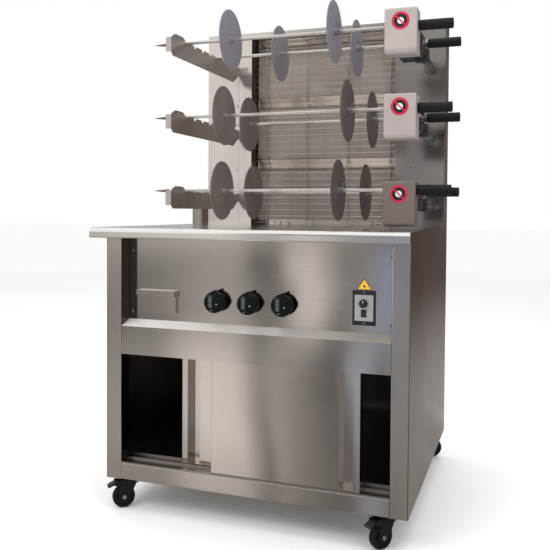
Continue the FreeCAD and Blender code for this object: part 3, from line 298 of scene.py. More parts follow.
def housing_steel(name):
    """Bright sheet round the burners, darker and rougher on the side walls beside them."""
    n = Nodes(name)
    geometry = n.add("NewGeometry").outputs
    low, high, centre = span_of("burner_guard")
    off_centre = n.math("SUBTRACT", n.axes(geometry["Position"])[0], centre.x)
    inside = n.math("LESS_THAN", n.math("ABSOLUTE", off_centre), (high.x - low.x) / 2 + 3 * MM)
    # the side walls beside the burners are darker and rougher
    darkening = n.times(inside, n.sideways(geometry["Normal"]))
    smears = n.noise(4.0, 4.0, 0.6)
    scratches = n.noise(1.0, 3.0, 0.6, (300.0, 300.0, 12.0))
    base = n.mix(n.spread(smears, 0.0, 0.5), (0.70, 0.675, 0.66), (0.58, 0.545, 0.52))
    rough = n.plus(n.spread(smears, 0.13, 0.22), n.spread(scratches, -0.02, 0.04))
    waves = n.bump(n.noise(2.6, 1.0, 0.4), 0.35, 0.006)
    return n.finish(n.mix(darkening, base, (0.115, 0.088, 0.075)),
                    n.plus(rough, n.times(darkening, 0.25)),
                    n.bump(scratches, 0.05, 0.0001, waves), Metallic=1.0)


def turned_skin(n, colour, roughness, darkening):
    """Colour, roughness and bump of a drawn rod: fine rings, and patches of burnt fat."""
    rings = n.noise(1.0, 2.0, 0.6, (1400.0, 60.0, 60.0))
    stain = n.spread(n.noise(14.0, 4.0, 0.65), 0.0, darkening, 0.50, 0.75)
    rough = n.plus(n.spread(rings, roughness - 0.04, roughness + 0.04), n.times(stain, 0.6))
    return n.mix(stain, colour, BURNT_FAT), rough, n.bump(rings, 0.08, 0.0002)


def drawn_steel(name, colour, roughness, darkening):
    n = Nodes(name)
    return n.finish(*turned_skin(n, colour, roughness, darkening), Metallic=1.0)


def disc_look(n, tone=1.0):
    """Colour and roughness of the discs: dull rolled sheet, scuffs, cooked patches, and a painted
    sky reflection on the top level.
    """
    clouds = n.noise(11.0, 4.0, 0.6)
    scuffs = n.noise(1.0, 4.0, 0.7, (30.0, 40.0, 320.0))
    base = n.mix(n.spread(clouds, 0.0, 1.0), scaled((0.245, 0.212, 0.200), tone),
                 scaled((0.195, 0.166, 0.157), tone))
    base = n.mix(n.spread(scuffs, 0.0, 0.15, 0.60, 0.80), base, (0.34, 0.31, 0.30))
    # painted reflection: discs on the top level are tinted lilac-grey, as if mirroring the sky
    top_discs_above = 1.47
    painted_sky_reflection = n.math("GREATER_THAN", n.axes(n.place())[2], top_discs_above)
    base = n.mix(n.times(painted_sky_reflection, 0.75), base, (0.31, 0.29, 0.35))
    return base, n.spread(clouds, 0.44, 0.58)


def disc_steel(name):
    n = Nodes(name)
    grain = n.noise(1.0, 2.0, 0.6, (60.0, 900.0, 900.0))
    base, rough = disc_look(n, 0.68)
    return n.finish(base, n.plus(rough, n.spread(grain, -0.03, 0.03)),
                    n.bump(grain, 0.10, 0.0002), Metallic=0.4)


def spit_steel(place):
    """Polished rod, darker at its point and dull on the disc that is one with it."""
    hub_r, point_length = 10.5 * MM, 62 * MM
    low, high, centre = span_of(f"spit_{place}")
    n = Nodes(f"spit_rod_{place}")
    x, y, z = n.axes(n.place())
    away = n.length(n.math("SUBTRACT", y, centre.y), n.math("SUBTRACT", z, centre.z))
    on_disc = n.times(n.math("GREATER_THAN", away, hub_r), n.math("LESS_THAN", x, centre.x))
    rod, rod_rough, normal = turned_skin(n, (0.68, 0.65, 0.62), 0.24, 0.3)
    rod = n.mix(n.math("LESS_THAN", x, low.x + point_length), rod, (0.24, 0.205, 0.18))
    disc, disc_rough = disc_look(n)
    change = n.times(on_disc, n.math("SUBTRACT", disc_rough, rod_rough))
    n.link(n.math("SUBTRACT", 0.95, n.times(on_disc, 0.55)), "Metallic")
    return n.finish(n.mix(on_disc, rod, disc), n.plus(rod_rough, change), normal)


def hood_paint(name):
    """Satin covers: two pale ones, and a darker brushed one at the lowest level."""
    n = Nodes(name)
    lowest_hood = min(islands("drive_hoods"), key=lambda span: span[0].z)
    lowest = n.math("LESS_THAN", n.axes(n.place())[2], lowest_hood[1].z + 10 * MM)
    smears = n.noise(7.0, 4.0, 0.6)
    grain = n.noise(1.0, 3.0, 0.6, (9.0, 500.0, 500.0))
    pale = n.mix(n.spread(smears, 0.0, 1.0), (0.42, 0.375, 0.365), (0.50, 0.45, 0.435))
    dark = n.mix(n.spread(grain, 0.0, 1.0), (0.165, 0.135, 0.12), (0.225, 0.19, 0.17))
    rough = n.plus(n.spread(smears, 0.34, 0.46), n.spread(grain, -0.02, 0.02))
    return n.finish(n.mix(lowest, pale, dark), rough,
                    n.bump(n.noise(420.0, 2.0, 0.5), 0.05, 0.0002), Metallic=0.35)


def burner_steel(name):
    """Thin stainless of the burner boxes, straw and brown from the heat."""
    n = Nodes(name)
    clouds = n.noise(5.5, 4.0, 0.6)
    streaks = n.noise(1.0, 3.0, 0.6, (2.5, 160.0, 160.0))
    base = n.mix(n.spread(clouds, 0.0, 1.0), (0.80, 0.71, 0.62), (0.58, 0.50, 0.43))
    return n.finish(n.mix(n.spread(streaks, 0.0, 0.4), base, (0.88, 0.82, 0.74)),
                    n.spread(clouds, 0.20, 0.36),
                    n.bump(n.noise(3.0, 2.0, 0.5), 0.7, 0.004), Metallic=1.0)


def ceramic(name):
    """Perforated plaque: fine rows of flame ports, with the tone of baked clay."""
    n = Nodes(name)
    port_pitch = 3.2 * MM
    x, _, z = n.axes(n.place())

    def wave(along, pitch):
        return n.math("SINE", n.times(along, FULL_TURN / pitch))

    ports = n.times(wave(x, port_pitch), wave(z, port_pitch))
    hole = n.spread(ports, 0.0, 1.0, 0.25, 0.75)
    rows = wave(z, 4 * port_pitch)
    clouds = n.noise(6.0, 4.0, 0.6)
    base = n.mix(n.spread(clouds, 0.0, 1.0), (0.36, 0.32, 0.28), (0.24, 0.205, 0.175))
    base = n.mix(n.spread(rows, 0.0, 0.35, -1.0, 1.0), base, (0.50, 0.455, 0.41))
    # painted shade: the flame ports are painted dark, as shade inside the holes
    base = n.mix(n.times(hole, 0.75), base, (0.06, 0.05, 0.045))
    return n.finish(base, n.spread(clouds, 0.55, 0.75), n.bump(n.times(hole, -1.0), 0.5, 0.0008),
                    Specular_IOR_Level=0.35)


def satin_paint(name, colour, roughness, wear=(0.30, 0.28, 0.26), gloss=0.5):
    """Painted or moulded surface with a faint orange peel, dust and rubbed places."""
    n = Nodes(name)
    peel = n.noise(420.0, 2.0, 0.5)
    smears = n.noise(9.0, 4.0, 0.6)
    rubbed = n.noise(34.0, 5.0, 0.7)
    base = n.mix(n.spread(smears, 0.0, 1.0), scaled(colour, 0.92), scaled(colour, 1.08))
    rough = n.plus(n.spread(smears, roughness - 0.06, roughness + 0.08),
                   n.spread(peel, -0.02, 0.02))
    return n.finish(n.mix(n.spread(rubbed, 0.0, 0.35, 0.62, 0.82), base, wear), rough,
                    n.bump(peel, 0.10, 0.0003), Specular_IOR_Level=gloss)


def cast_metal(name, colour, roughness):
    """Cast or plated metal with a sandy skin."""
    n = Nodes(name)
    sand = n.noise(650.0, 3.0, 0.6)
    patches = n.noise(18.0, 4.0, 0.6)
    rough = n.plus(n.spread(patches, roughness - 0.06, roughness + 0.08),
                   n.spread(sand, -0.03, 0.03))
    return n.finish(n.mix(n.spread(patches, 0.0, 0.8), colour, scaled(colour, 0.62)),
                    rough, n.bump(sand, 0.25, 0.0003), Metallic=1.0)


def rubber(name):
    n = Nodes(name)
    dust = n.noise(40.0, 5.0, 0.7)
    return n.finish(n.mix(n.spread(dust, 0.0, 0.5, 0.5, 0.8), (0.006, 0.006, 0.007),
                          (0.035, 0.032, 0.029)), n.spread(dust, 0.55, 0.8),
                    n.bump(n.noise(900.0, 2.0, 0.5), 0.2, 0.0003), Specular_IOR_Level=0.3)


def plain_print(name, colour, roughness=0.4):
    """Printed film of the stickers and dial marks, with faint wear."""
    n = Nodes(name)
    wear = n.noise(120.0, 4.0, 0.7)
    return n.finish(n.mix(n.spread(wear, 0.0, 0.25, 0.55, 0.8), colour, scaled(colour, 0.7)),
                    n.spread(wear, roughness - 0.05, roughness + 0.1),
                    n.bump(wear, 0.05, 0.0002), Specular_IOR_Level=0.5)


MATERIALS = {
    # the frame's inner faces between the posts carry painted shade
    "frame": sheet_steel("frame_tube", (0.60, 0.56, 0.525), 0.22, "Z", 0.12, 0.05,
                         streak=0.04, painted_shade_inside=True),
    "rail": sheet_steel("panel_sheet", WARM_STEEL, 0.10, "X", 0.5, anisotropy=0.4),
    # painted shade: the side sheet is a darker, redder copy of the panel steel, with some grime
    "side": sheet_steel("side_sheet", (0.42, 0.36, 0.325), 0.20, "X", 0.4, 0.3),
    "back": sheet_steel("back_sheet", (0.58, 0.55, 0.53), 0.28),
    # partly painted shade: the sheets inside the cabinet are a darker copy of the panel steel,
    # partly grime
    "inner": sheet_steel("inner_sheet", (0.42, 0.39, 0.37), 0.40, "X", 0.4, 0.5),
    # painted highlight: the counter sheet is a lighter copy of the panel steel, so its nose
    # shines brighter
    "counter": sheet_steel("counter_sheet", (0.90, 0.88, 0.86), 0.16, "X", 0.2, 0.1),
    "door": sheet_steel("door_sheet", DOOR_STEEL, 0.12, "X", 0.9),
    # painted highlight along the fascia's ledge
    "fascia": sheet_steel("fascia_sheet", WARM_STEEL, 0.12, painted_ledge_highlight=True),
    "arm": sheet_steel("arm_plate", (0.64, 0.59, 0.56), 0.36, "Y", 0.2, 0.3),
    "hood": hood_paint("hood_cover"),
    "housing": housing_steel("housing_sheet"),
    "burner": burner_steel("burner_box"),
    "ceramic": ceramic("burner_plaque"),
    "guard": drawn_steel("guard_wire", (0.68, 0.64, 0.59), 0.34, 0.5),
    "tube": drawn_steel("drawn_tube", (0.36, 0.37, 0.37), 0.25, 0.3),
    "chain": drawn_steel("oiled_chain", (0.30, 0.30, 0.29), 0.30, 0.5),
    "screw": cast_metal("zinc_screw", (0.62, 0.61, 0.59), 0.28),
    "cast": cast_metal("cast_case", (0.34, 0.34, 0.34), 0.42),
    "brass": cast_metal("gas_brass", (0.62, 0.44, 0.20), 0.30),
    "disc": disc_steel("disc_sheet"),
    "drive": satin_paint("drive_black_paint", (0.030, 0.030, 0.031), 0.45),
    "caster": satin_paint("caster_black_paint", (0.006, 0.006, 0.007), 0.38,
                          (0.05, 0.046, 0.042), gloss=0.25),
    "plastic": satin_paint("black_plastic", NEAR_BLACK, 0.36, (0.05, 0.05, 0.05)),
    "grip": satin_paint("grip_plastic", (0.009, 0.010, 0.011), 0.38, (0.03, 0.03, 0.03),
                        gloss=0.2),
    "knob": satin_paint("knob_plastic", (0.003, 0.0045, 0.0045), 0.30, (0.012, 0.016, 0.015),
                        gloss=0.15),
    "inlay": plain_print("plate_inlay", (0.30, 0.30, 0.31), 0.45),
    "rubber": rubber("wheel_rubber"),
    "mark": plain_print("dial_mark", LABEL_WHITE),
    "faded": plain_print("worn_mark", (0.16, 0.20, 0.19)),
    "worn": plain_print("grey_mark", (0.42, 0.43, 0.42)),
    "strip": satin_paint("dial_strip", (0.022, 0.034, 0.032), 0.28, (0.04, 0.05, 0.05),
                         gloss=0.3),
    "red": plain_print("sign_red", SIGN_RED, 0.35),
    "yellow": plain_print("sign_yellow", SIGN_YELLOW, 0.35),
}

CAD_LOOKS = {
    "frame": ("cabinet_frame",),
    "rail": ("control_panel",),
    "side": ("side_panels",),
    "back": ("back_panel",),
    "inner": ("cabinet_floor", "door_tracks", "drawer_runners"),
    "counter": ("countertop",),
    "door": ("front_door", "rear_door", "drip_drawer"),
    "fascia": ("fascia",),
    "arm": ("spit_arms",),
    "hood": ("drive_hoods",),
    "housing": ("housing_columns", "housing_shell"),
    "burner": ("burner_bodies",),
    "ceramic": ("burner_plaques",),
    "guard": ("burner_guard",),
    "tube": ("support_tubes",),
    "drive": ("drive_carriers",),
    "plastic": ("electric_plate", "rocker_switch"),
    "brass": ("gas_manifold",),
    "caster": ("caster_plates",) + tuple(f"caster_fork_{name}" for name in CASTERS),
}
SHARP_EDGED = ("burner_guard", "burner_plaques", "control_panel", "gas_manifold", "support_tubes")


def dress_cad_nodes():
    """Give each carried-over CAD node its material and slightly softened edges."""

    def dress(name, material):
        node = frame["nodes"][name]
        node.data.materials.clear()
        node.data.materials.append(material)
        return node

    for look, names in CAD_LOOKS.items():
        for name in names:
            node = dress(name, MATERIALS[look])
            if name not in SHARP_EDGED:
                soften(node, 0.4 * MM)
    for place in PLACES:
        dress(f"spit_{place}", spit_steel(place))


def soften(piece, width):
    weld = piece.modifiers.new("weld", "WELD")
    weld.merge_threshold = 0.01 * MM
    bevel = piece.modifiers.new("edges", "BEVEL")
    bevel.width = width
    bevel.segments = 2
    bevel.limit_method = "ANGLE"
    bevel.angle_limit = math.radians(40)
    bevel.use_clamp_overlap = True
    bevel.harden_normals = True


# ---- mesh helpers
def paint(faces, index):
    for face in faces:
        face.material_index = index


def bridge(mesh, first, second):
    """Faces between two closed loops with equally many vertices."""
    return [mesh.faces.new((first[k - 1], second[k - 1], second[k], first[k]))
            for k in range(len(first))]


def add_loft(mesh, rings, index=0):
    """Closed solid through rings of points that have equally many each."""
    loops = [[mesh.verts.new(point) for point in ring] for ring in rings]
    faces = [mesh.faces.new(loops[0]), mesh.faces.new(loops[-1][::-1])]
    for first, second in zip(loops, loops[1:]):
        faces += bridge(mesh, first, second)
    paint(faces, index)


def add_plate(mesh, outline, depth, index=0):
    """Flat plate from an outline of points, thickened along a vector."""
    add_loft(mesh, (outline, [point + depth for point in outline]), index)


def add_hoop(mesh, rings, index=0):
    """Surface through rings of points, closed from the last ring to the first."""
    loops = [[mesh.verts.new(point) for point in ring] for ring in rings]
    for first, second in zip(loops, loops[1:] + loops[:1]):
        paint(bridge(mesh, first, second), index)


def turner(start, axis, segments):
    """Function that gives a point from its length along an axis, its radius and a step."""
    axis = Vector(axis).normalized()
    side = axis.orthogonal().normalized()
    other = axis.cross(side)

    def point(along, radius, step):
        angle = FULL_TURN * step / segments
        out = side * math.cos(angle) + other * math.sin(angle)
        return Vector(start) + axis * along + out * radius

    return point


def rod(start, end, radius):
    """Profile of a plain cylinder between two places along its axis."""
    return [(start, 0), (start, radius), (end, radius), (end, 0)]


def add_lathe(mesh, profile, start, axis, segments=48, index=0):
    """Closed solid of revolution. The profile is (along, radius) from end to end."""
    point = turner(start, axis, segments)
    rings = [[mesh.verts.new(point(along, radius, step))
              for step in range(segments if radius > 0 else 1)] for along, radius in profile]
    faces = [mesh.faces.new(ring) for ring in (rings[0], rings[-1]) if len(ring) > 2]
    for first, second in zip(rings, rings[1:]):
        for step in range(segments):
            after = (step + 1) % segments
            corners = [first[step % len(first)], first[after % len(first)],
                       second[after % len(second)], second[step % len(second)]]
            unique = list(dict.fromkeys(corners))
            if len(unique) > 2:
                faces.append(mesh.faces.new(unique))
    paint(faces, index)


def add_loop_lathe(mesh, profile, start, axis, segments, index=0):
    """Ring of revolution whose profile is a closed outline, as for a tyre or collar."""
    point = turner(start, axis, segments)
    add_hoop(mesh, [[point(along, radius, step) for along, radius in profile]
                    for step in range(segments)], index)


def add_box(mesh, low, high, radius=0.0, index=0, turn=Matrix()):
    """Box between two corners, its edges rounded, and turned by a matrix."""
    low, high = Vector(low), Vector(high)
    verts = bmesh.ops.create_cube(mesh, size=1.0)["verts"]
    for vert in verts:
        vert.co = vert.co * (high - low) + (low + high) / 2
    if radius > 0:
        edges = list(dict.fromkeys(edge for vert in verts for edge in vert.link_edges))
        verts = bmesh.ops.bevel(mesh, geom=edges, offset=radius, segments=3, profile=0.5,
                                affect="EDGES")["verts"]
    faces = dict.fromkeys(face for vert in verts for face in vert.link_faces)
    paint(faces, index)
    for vert in dict.fromkeys(vert for face in faces for vert in face.verts):
        vert.co = turn @ vert.co


def circle(centre, radius, segments, start=0.0, end=FULL_TURN, first=X_AXIS, second=Z_AXIS):
    """Points round a circle, or an arc of it, in the plane of two unit vectors."""
    whole = abs(end - start - FULL_TURN) < 1e-6
    points = []
    for step in range(segments if whole else segments + 1):
        angle = start + (end - start) * step / segments
        points.append(centre + (first * math.cos(angle) + second * math.sin(angle)) * radius)
    return points


def scene_object(name, mesh, materials):
    """Turn a bmesh into an object in the scene."""
    data = bpy.data.meshes.new(name)
    mesh.to_mesh(data)
    mesh.free()
    for material in materials:
        data.materials.append(material)
    made = bpy.data.objects.new(name, data)
    show(made)
    return made


def finish_piece(name, mesh, looks, body, replaced=(), bevel=0.0):
    """Turn a bmesh into a piece that rides on a body."""
    bmesh.ops.recalc_face_normals(mesh, faces=mesh.faces)
    piece = scene_object(name, mesh, [MATERIALS[look] for look in looks])
    if bevel > 0:
        soften(piece, bevel)
    piece.data.shade_smooth()
    piece.data.set_sharp_from_angle(angle=math.radians(35))
    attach(piece, body)
    if replaced:
        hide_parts(*replaced)
    return piece


# ---- spits and discs
def make_grips():
    """Ribbed grips with a plated ferrule, one on each spit."""
    ferrule, cap, dish = 9 * MM, 3 * MM, 1.5 * MM
    grooves = 5
    groove = ((-1.5, 1.0), (-0.7, 0.955), (0.7, 0.955), (1.5, 1.0))
    for place in PLACES:
        low, high, centre = span_of(f"spit_handle_{place}")
        radius, length = (high.z - low.z) / 2, high.x - low.x
        start = Vector((low.x, centre.y, centre.z))
        mesh = bmesh.new()
        add_lathe(mesh, [(0.0, 0.0), (0.0, radius * 0.80), (1 * MM, radius * 0.88),
                         (ferrule - 1 * MM, radius * 0.88), (ferrule, radius * 0.80),
                         (ferrule, 0.0)], start, X_AXIS, 48, 1)
        grip = [(ferrule, 0.0), (ferrule, radius * 0.90), (ferrule + 2 * MM, radius * 0.97)]
        for k in range(grooves):
            middle = ferrule + 10 * MM + k * (length - ferrule - 26 * MM) / (grooves - 1)
            grip += [(middle + away * MM, radius * share) for away, share in groove]
        for k in range(5):
            angle = math.pi / 2 * k / 4
            grip.append((length - cap + cap * math.sin(angle),
                         radius - cap + cap * math.cos(angle)))
        grip += [(length, radius * 0.35), (length - dish, radius * 0.30), (length - dish, 0.0)]
        add_lathe(mesh, grip, start, X_AXIS)
        finish_piece(f"grip_{place}", mesh, ("grip", "screw"), f"spit_{place}",
                     (f"spit_handle_{place}",))


def make_sliding_discs():
    """Disc with a rolled rim and a turned collar, and a thumb screw with two wings."""
    half, bore = 1.5 * MM, 6.05 * MM
    reach, outer = 22 * MM, 12 * MM
    step = 1 * MM
    wing = ((1.5, 21), (5, 21), (8.4, 26), (9, 30), (7.4, 33), (4.8, 32), (3.2, 26))
    for place in PLACES:
        low, high, _ = span_of(f"sliding_disc_{place}")
        axis_at = span_of(f"spit_{place}")[2]
        radius = (high.y - low.y) / 2
        middle = Vector((low.x + half, axis_at.y, axis_at.z))
        mesh = bmesh.new()
        rim = [(-half, bore), (-half, radius - 0.8 * MM), (-half * 0.5, radius - 0.2 * MM),
               (0.0, radius), (half * 0.5, radius - 0.2 * MM), (half, radius - 0.8 * MM),
               (half, bore)]
        add_loop_lathe(mesh, rim, middle, X_AXIS, 96, 0)
        collar = [(half, bore), (half, outer + 1.5 * MM), (2.6 * MM, outer), (7 * MM, outer),
                  (8 * MM, outer - step), (reach - 1.5 * MM, outer - step),
                  (reach, outer - 2.5 * MM), (reach, bore)]
        add_loop_lathe(mesh, collar, middle, X_AXIS, 40, 1)
        screw_at = middle + X_AXIS * 14 * MM
        shank = [(bore + step, 0.0), (bore + step, 3 * MM), (20 * MM, 3 * MM),
                 (20 * MM, 4.5 * MM), (23 * MM, 4.5 * MM), (24.5 * MM, 3 * MM),
                 (24.5 * MM, 0.0)]
        add_lathe(mesh, shank, screw_at, Z_AXIS, 24, 1)
        for side in (-1, 1):
            outline = [screw_at + Vector((side * dx, -1.3, dz)) * MM for dx, dz in wing]
            add_plate(mesh, outline, Y_AXIS * 2.6 * MM, 1)
        finish_piece(f"adjustable_disc_{place}", mesh, ("disc", "screw"),
                     f"sliding_disc_{place}", (f"sliding_disc_{place}",))


# ---- chains and drives
def make_chains():
    """Roller chain round the two sprockets of each level."""
    pitch_r, teeth, straight_links = 18.4 * MM, 12, 29
    spans = sorted(islands("drive_chains"), key=lambda span: span[0].z)
    for level, (low, high) in zip(LEVELS, spans):
        middle = (low + high) / 2
        reach = (high.z - low.z) / 2
        front_y, rear_y = low.y + reach, high.y - reach
        points = []
        for side, start, end in ((1, front_y, rear_y), (-1, rear_y, front_y)):
            for k in range(straight_links):
                points.append(Vector((middle.x, start + (end - start) * k / straight_links,
                                      middle.z + side * pitch_r)))
            for k in range(teeth // 2):
                angle = side * math.pi / 2 - FULL_TURN * k / teeth
                points.append(Vector((middle.x, end + pitch_r * math.cos(angle),
                                      middle.z + pitch_r * math.sin(angle))))
        mesh = bmesh.new()
        for k, here in enumerate(points):
            add_link(mesh, here, points[(k + 1) % len(points)], inner=k % 2 == 0)
        piece = finish_piece(f"roller_chain_{level}", mesh, ("chain",), "cabinet")
        if level == LEVELS[0]:
            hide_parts("drive_chains")


def add_link(mesh, here, there, inner):
    """Two link plates between neighbouring pins, with the roller and pin of the first."""
    plate_r, plate_thick = 3.9 * MM, 1 * MM
    plate_away = 2.9 * MM if inner else 4.1 * MM
    along = (there - here).normalized()
    across = X_AXIS.cross(along)
    quarter = math.pi / 2
    outline = (circle(there, plate_r, 6, -quarter, quarter, along, across)
               + circle(here, plate_r, 6, quarter, 3 * quarter, along, across))
    for side in (-1, 1):
        add_plate(mesh, [point + X_AXIS * side * plate_away for point in outline],
                  X_AXIS * side * plate_thick)
    for radius, width, segments in ((3.17 * MM, 5.6 * MM, 12), (1.6 * MM, 11 * MM, 8)):
        add_lathe(mesh, rod(0, width, radius), here - X_AXIS * width / 2, X_AXIS, segments)


def make_motors():
    """Cast gear head with ribs on top, and a finned can hanging below it."""
    boss_r, boss_height = 12 * MM, 32 * MM
    fins, ribs = 9, 4
    mesh = bmesh.new()
    for low, high in sorted(islands("gear_motors"), key=lambda span: span[0].z):
        size = high - low
        centre = (low + high) / 2
        foot = Vector((centre.x, centre.y, low.z))
        is_can = abs(size.x - size.y) < 1 * MM
        if is_can:
            radius = size.x / 2
            core = radius * 0.92
            profile = [(0.0, 0.0), (0.0, radius * 0.80), (2 * MM, core)]
            step = (size.z - 10 * MM) / fins
            for k in range(fins):
                z = 5 * MM + k * step
                profile += [(z, core), (z, radius), (z + step / 2, radius), (z + step / 2, core)]
            profile += [(size.z - 3 * MM, core), (size.z - 3 * MM, radius),
                        (size.z, radius), (size.z, 0.0)]
            add_lathe(mesh, profile, foot, Z_AXIS, 40)
            continue
        add_box(mesh, (low.x, low.y, low.z + boss_height), high, 2 * MM)
        add_lathe(mesh, rod(0, boss_height, boss_r), foot, Z_AXIS, 32)
        for k in range(ribs):
            x = low.x + size.x * (k + 1) / (ribs + 1)
            add_box(mesh, (x - 1 * MM, low.y + 5 * MM, high.z - 1 * MM),
                    (x + 1 * MM, high.y - 5 * MM, high.z + 1.6 * MM), 0.4 * MM)
    finish_piece("geared_motors", mesh, ("cast",), "cabinet", ("gear_motors",))


def make_signs():
    """Plain round stickers on the hoods: a red ring with a bar over a dark disc."""
    hoods = sorted(islands("drive_hoods"), key=lambda span: span[0].z)
    for level, (low, high) in zip(LEVELS, hoods):
        size = high - low
        centre = Vector((low.x + size.x * 0.50, low.y - 0.10 * MM, high.z - size.z * 0.285))
        ring_r = size.x * 0.275

        def disc(share, lift, segments=64):
            return circle(centre - Y_AXIS * lift * MM, ring_r * share, segments)

        mesh = bmesh.new()
        add_plate(mesh, disc(0.97, 0), Y_AXIS * 0.1 * MM, 1)
        add_hoop(mesh, (disc(1, 0.15), disc(0.74, 0.15), disc(0.74, -0.05), disc(1, -0.05)))
        add_plate(mesh, disc(0.36, 0.08, 24), Y_AXIS * 0.15 * MM, 2)
        slant = Matrix.Translation(centre) @ Matrix.Rotation(math.radians(45), 4, "Y")
        add_box(mesh, (-ring_r * 0.80, -0.2 * MM, -ring_r * 0.09),
                (ring_r * 0.80, 0.05 * MM, ring_r * 0.09), turn=slant)
        finish_piece(f"hood_sticker_{level}", mesh, ("red", "plastic", "mark"), "cabinet")


# ---- controls
def teardrop(centre, radius, nose):
    """Outline in the XZ plane: a circle with a nose drawn out to its right."""
    tip = 17 * MM
    turn = math.acos((radius - tip) / (nose - tip))
    ball = centre + X_AXIS * (nose - tip)
    return circle(centre, radius, 40, turn, FULL_TURN - turn) + circle(ball, tip, 6, -turn, turn)


def make_gas_knobs():
    """Front plate with a nose, a dial strip and a leaning pointer, on a tapered body."""
    radius, nose = 34 * MM, 36.5 * MM
    plate, depth, stem = 14 * MM, 32 * MM, 19 * MM
    rim = ((0.8, 2.6), (1.3, 1.0), (2.2, 0.3), (3.4, 0.0), (12.5, 0.0), (14.0, 1.2))
    strip, dashes = -0.36, (0.09, 0.12, 0.07)
    pointer = ((-0.42, 0.70), (0.10, 0.72), (0.20, 0.84), (0.24, 1.18), (0.12, 1.18),
               (-0.14, 1.06), (-0.42, 0.95))
    arrow = ((0.20, -0.10), (0.37, -0.12), (0.28, -0.25))
    for number in (1, 2, 3):
        node = f"gas_knob_{number}"
        hub, _ = joint_line(f"{node}_turn")
        face = Vector((hub.x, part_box(node)[0].y, hub.z))
        mesh = bmesh.new()

        def on_face(right, up, back=0.0):
            return face + Vector((right * radius, back * MM, up * radius))

        add_loft(mesh, [teardrop(face + Y_AXIS * back * MM, radius - inset * MM,
                                 nose - inset * MM) for back, inset in rim])
        add_lathe(mesh, [(plate - 1 * MM, 0), (plate - 1 * MM, 29 * MM),
                         (plate + 3 * MM, 29.6 * MM), (depth - 2 * MM, 27 * MM),
                         (depth, 25.5 * MM), (depth, 0)], face, Y_AXIS, 72)
        add_lathe(mesh, rod(depth, depth + stem, 4 * MM), face, Y_AXIS, 24, 2)
        add_box(mesh, on_face(strip - 0.22, -0.50, 0.4), on_face(strip + 0.22, 0.68, 5),
                0.3 * MM, 4)
        add_plate(mesh, [on_face(right, up, 2) for right, up in pointer], Y_AXIS * 6 * MM)
        for k in range(6):
            half, up = dashes[k % len(dashes)], 0.18 * k - 0.42
            add_box(mesh, on_face(strip - half, up - 0.03, 0.2),
                    on_face(strip + half, up + 0.03, 0.6), 0.0, 1)
        dot = circle(on_face(-0.24, -0.74, 0.6), radius * 0.045, 16)
        for mark in ([on_face(right, up, 0.6) for right, up in arrow], dot):
            add_plate(mesh, mark, Y_AXIS * 0.5 * MM, 3)
        finish_piece(f"burner_knob_{number}", mesh,
                     ("knob", "faded", "screw", "worn", "strip"), node, (node,))


def make_speed_knob():
    """Fluted cap with a line on it, on a short shaft."""
    low, high, centre = span_of("speed_knob")
    face = Vector((centre.x, low.y, centre.z))
    radius = (high.x - low.x) / 2
    flutes = 18
    outline = []
    for k in range(flutes * 4):
        angle = FULL_TURN * k / (flutes * 4)
        reach = radius * (0.90 if k % 4 == 0 else 0.96)
        outline.append(face + Vector((math.cos(angle) * reach, 2 * MM, math.sin(angle) * reach)))
    mesh = bmesh.new()
    add_plate(mesh, outline, Y_AXIS * 10 * MM)
    add_lathe(mesh, [(0.6 * MM, 0), (0.6 * MM, radius * 0.74), (2.0 * MM, radius * 0.86),
                     (2.4 * MM, 0)], face, Y_AXIS, 40)
    add_lathe(mesh, rod(11 * MM, 13 * MM, radius), face, Y_AXIS)
    add_lathe(mesh, rod(13 * MM, 24 * MM, 3 * MM), face, Y_AXIS, 20)
    add_box(mesh, face + Vector((-0.8 * MM, 0.3 * MM, radius * 0.2)),
            face + Vector((0.8 * MM, 1.0 * MM, radius * 0.72)), 0.0, 1)
    finish_piece("speed_dial", mesh, ("plastic", "mark"), "speed_knob",
                 ("speed_knob",))


def make_switch_inlay():
    """Grey inlay face that leaves the dial and the rocker free, with a ring of ticks."""
    low, high, _ = span_of("electric_plate")
    dial, rocker = span_of("speed_knob")[2], span_of("rocker_switch")[2]
    sheet = 0.12 * MM
    gap_x, gap_z, dial_gap = 8.5 * MM, 11.2 * MM, 5.0 * MM
    x0, x1 = low.x + 6.8 * MM, high.x - 6.8 * MM
    z0, z1 = low.z + 13.4 * MM, high.z - 13.4 * MM
    rocker_foot, rocker_top = rocker.z - gap_z, rocker.z + gap_z
    dial_foot, dial_top = dial.z - dial_gap, dial.z + dial_gap
    mesh = bmesh.new()
    for left, right, foot, top in (
            (x0, x1, z0, rocker_foot), (x0, rocker.x - gap_x, rocker_foot, rocker_top),
            (rocker.x + gap_x, x1, rocker_foot, rocker_top), (x0, x1, rocker_top, dial_foot),
            (x0, dial.x - dial_gap, dial_foot, dial_top),
            (dial.x + dial_gap, x1, dial_foot, dial_top), (x0, x1, dial_top, z1)):
        add_box(mesh, (left, low.y - sheet, foot), (right, low.y, top))
    ticks, tick_r, tick_high = 11, 0.55 * MM, 0.1 * MM
    for k in range(ticks):
        angle = math.radians(-50 + 280 * k / (ticks - 1))
        away = Vector((math.cos(angle), 0, math.sin(angle))) * 15.5 * MM
        spot = Vector((dial.x, low.y - sheet - tick_high, dial.z)) + away
        add_lathe(mesh, rod(0, tick_high, tick_r), spot, Y_AXIS, 10, 1)
    finish_piece("switch_inlay", mesh, ("inlay", "plastic"), "cabinet")


